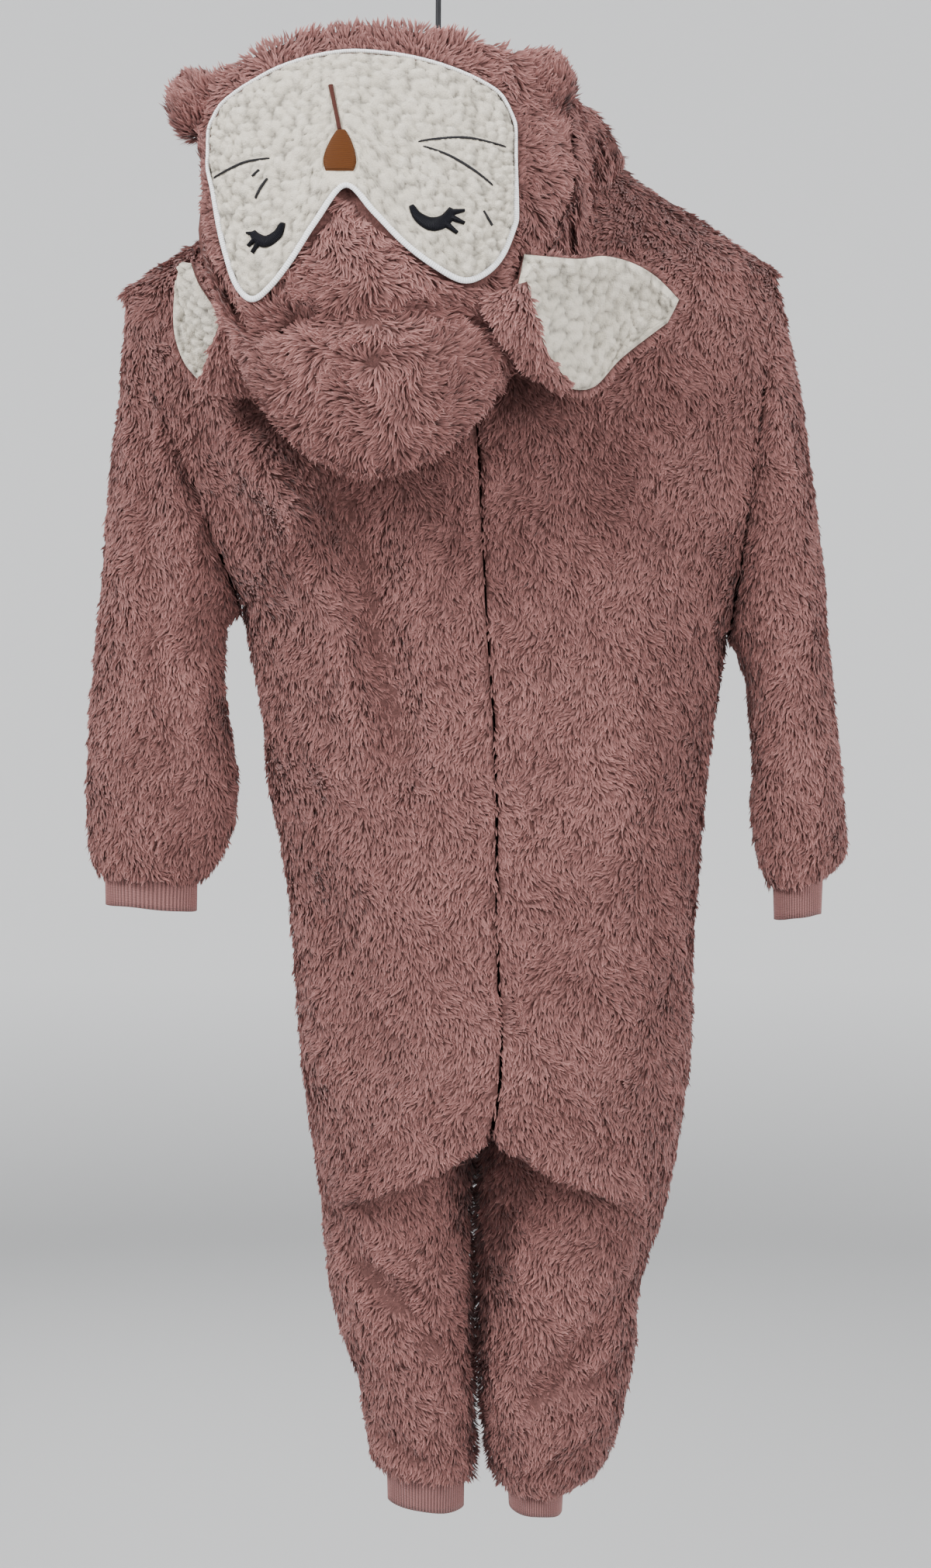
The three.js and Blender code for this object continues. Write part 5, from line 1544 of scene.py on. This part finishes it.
class ONESIE_OT_zip(bpy.types.Operator):
    """Makes the zip's tape and teeth on the front, and finishes its slider and pull"""

    bl_idname = "onesie.zip"
    bl_label = "Zip"

    def execute(self, context):
        tape_half, tape_sink, tape_thick = 4.1, 3.6, 1.2
        rows, columns = GRIDS["zip_tape"]
        z = np.linspace(ZIP_START, ZIP_END - 6, rows)[:, None]
        middle, depth = zip_line(z)
        s = np.linspace(-1, 1, columns)[None]
        outer = np.stack([middle + s * tape_half, depth - tape_sink + 0 * s, z + 0 * s], -1)
        points, faces = wall(outer, outer - (0, tape_thick, 0))
        add_piece("zip_tape", points, faces, finish("zip_tape"), ["zip_chain"])
        pitch, width, tall, deep, sink, aside = 2.6, 3.2, 1.7, 1.6, 3.4, 0.9
        heights = np.arange(ZIP_START - 2, ZIP_END, -pitch / 2)
        middle, depth = zip_line(heights)
        shift = np.where(np.arange(len(heights)) % 2, aside, -aside)
        centres = np.stack([middle + shift, depth - sink, heights], -1)
        corner = np.array([[x, y, t] for x in (-1, 1) for y in (0, 1) for t in (-1, 1)], float)
        taper = 1 - 0.25 * corner[:, 1]
        cell = corner * (width / 2, deep, tall / 2 * 0.62) * np.stack([taper, 1 + 0 * taper, taper], -1)
        box_faces = np.array([[0, 1, 3, 2], [4, 6, 7, 5], [0, 4, 5, 1],
                              [2, 3, 7, 6], [0, 2, 6, 4], [1, 5, 7, 3]])
        teeth = (centres[:, None] + cell).reshape(-1, 3)
        faces = (np.arange(len(centres))[:, None, None] * 8 + box_faces).reshape(-1, 4)
        add_piece("zip_teeth", teeth, faces, finish("zip_metal"))
        for node in ("zip_slider", "zip_pull"):
            paint_node(node, "zip_metal")
        return {"FINISHED"}


class ONESIE_OT_hanger(bpy.types.Operator):
    """Finishes the hanger's arms and makes its round wire hook"""

    bl_idname = "onesie.hanger"
    bl_label = "Hanger"

    def execute(self, context):
        paint_node("hanger_arms", "hanger_plastic")
        wire, bend, neck, seat = 4.4, 17, -112, 4.3
        radius = bend + wire / 2
        centre = HOOK_RISE + wire / 2 - radius
        turns = np.radians(np.arange(-20, 191, 15))
        bent = np.stack([radius * np.cos(turns), 0 * turns, centre + radius * np.sin(turns)], -1)
        shank = [[0, 0, neck + seat], [0, 0, centre - 38], [1.5, 0, centre - 30], [14, 0, centre - 17]]
        stops = np.vstack([shank, bent])
        path = along(stops, np.linspace(0, len(stops) - 1, 150))
        points, faces = tube_along(path, wire / 2)
        add_piece("hanger_hook_wire", points, faces, finish("hanger_wire"), ["hanger_hook"])
        return {"FINISHED"}


class ONESIE_OT_stage(bpy.types.Operator):
    """Makes the pale floor with its rounded surround, the lights and the camera"""

    bl_idname = "onesie.stage"
    bl_label = "Stage"

    def execute(self, context):
        floor, reach, fillet, top, sides = STAGE.values()
        turn = np.linspace(0, np.pi / 2, 12)
        radius = np.concatenate([[0.0], reach - fillet + fillet * np.sin(turn), [reach]])
        height = np.concatenate([[floor], floor + fillet - fillet * np.cos(turn), [top]])
        around = np.linspace(0, 2 * np.pi, sides, endpoint=False)
        points = np.stack([radius[:, None] * np.cos(around), radius[:, None] * np.sin(around),
                           np.repeat(height[:, None], sides, 1)], -1)
        faces = grid_faces(len(radius), sides, closed=True)[:, ::-1]
        mesh = bpy.data.meshes.new("studio_surround")
        mesh.from_pydata(points.reshape(-1, 3).tolist(), [], faces.tolist())
        mesh.polygons.foreach_set("use_smooth", np.ones(len(mesh.polygons), bool))
        surround = bpy.data.objects.new("studio_surround", mesh)
        context.scene.collection.objects.link(surround)
        mesh.materials.append(finish("studio_grey"))
        for name, place, size, power in LIGHTS:
            light = bpy.data.lights.new(name, "AREA")
            light.shape = "RECTANGLE"
            light.size, light.size_y = size
            light.energy = power
            lamp = bpy.data.objects.new(name, light)
            lamp.location = place
            aim = Vector(LIGHT_AIM) - Vector(place)
            lamp.rotation_euler = aim.to_track_quat("-Z", "Y").to_euler()
            lamp.visible_camera = False
            context.scene.collection.objects.link(lamp)
        world = bpy.data.worlds.new("studio_light")
        context.scene.world = world
        world.use_nodes = True
        background = world.node_tree.nodes["Background"]
        for socket, value in SKY.items():
            background.inputs[socket].default_value = value
        camera = bpy.data.cameras.new("photo_camera")
        camera.sensor_width = 36
        camera.lens = CAMERA["lens"]
        camera.clip_start = 0.05
        view = bpy.data.objects.new("photo_camera", camera)
        view.location = CAMERA["place"]
        view.rotation_euler = (math.radians(90), 0, 0)
        context.scene.collection.objects.link(view)
        context.scene.camera = view
        return {"FINISHED"}


OPERATORS = (
    ONESIE_OT_body,
    ONESIE_OT_sleeves,
    ONESIE_OT_cuffs,
    ONESIE_OT_hood,
    ONESIE_OT_face,
    ONESIE_OT_ears,
    ONESIE_OT_zip,
    ONESIE_OT_hanger,
    ONESIE_OT_stage,
)


class ONESIE_PT_panel(bpy.types.Panel):
    """Lists the steps that make the onesie"""

    bl_label = "Bunny Onesie"
    bl_space_type = "VIEW_3D"
    bl_region_type = "UI"
    bl_category = "Onesie"

    def draw(self, context):
        for operator in OPERATORS:
            self.layout.operator(operator.bl_idname)


def register():
    """Registers the settings, the operators and the panel."""
    for cls in (ONESIE_PG_settings, *OPERATORS, ONESIE_PT_panel):
        bpy.utils.register_class(cls)
    bpy.types.Scene.onesie = PointerProperty(type=ONESIE_PG_settings)


def unregister():
    """Takes them off again."""
    del bpy.types.Scene.onesie
    for cls in reversed((ONESIE_PG_settings, *OPERATORS, ONESIE_PT_panel)):
        bpy.utils.unregister_class(cls)


def main():
    """Makes every piece in order."""
    register()
    for operator in OPERATORS:
        group, name = operator.bl_idname.split(".")
        getattr(getattr(bpy.ops, group), name)()


if __name__ == "__main__":
    main()
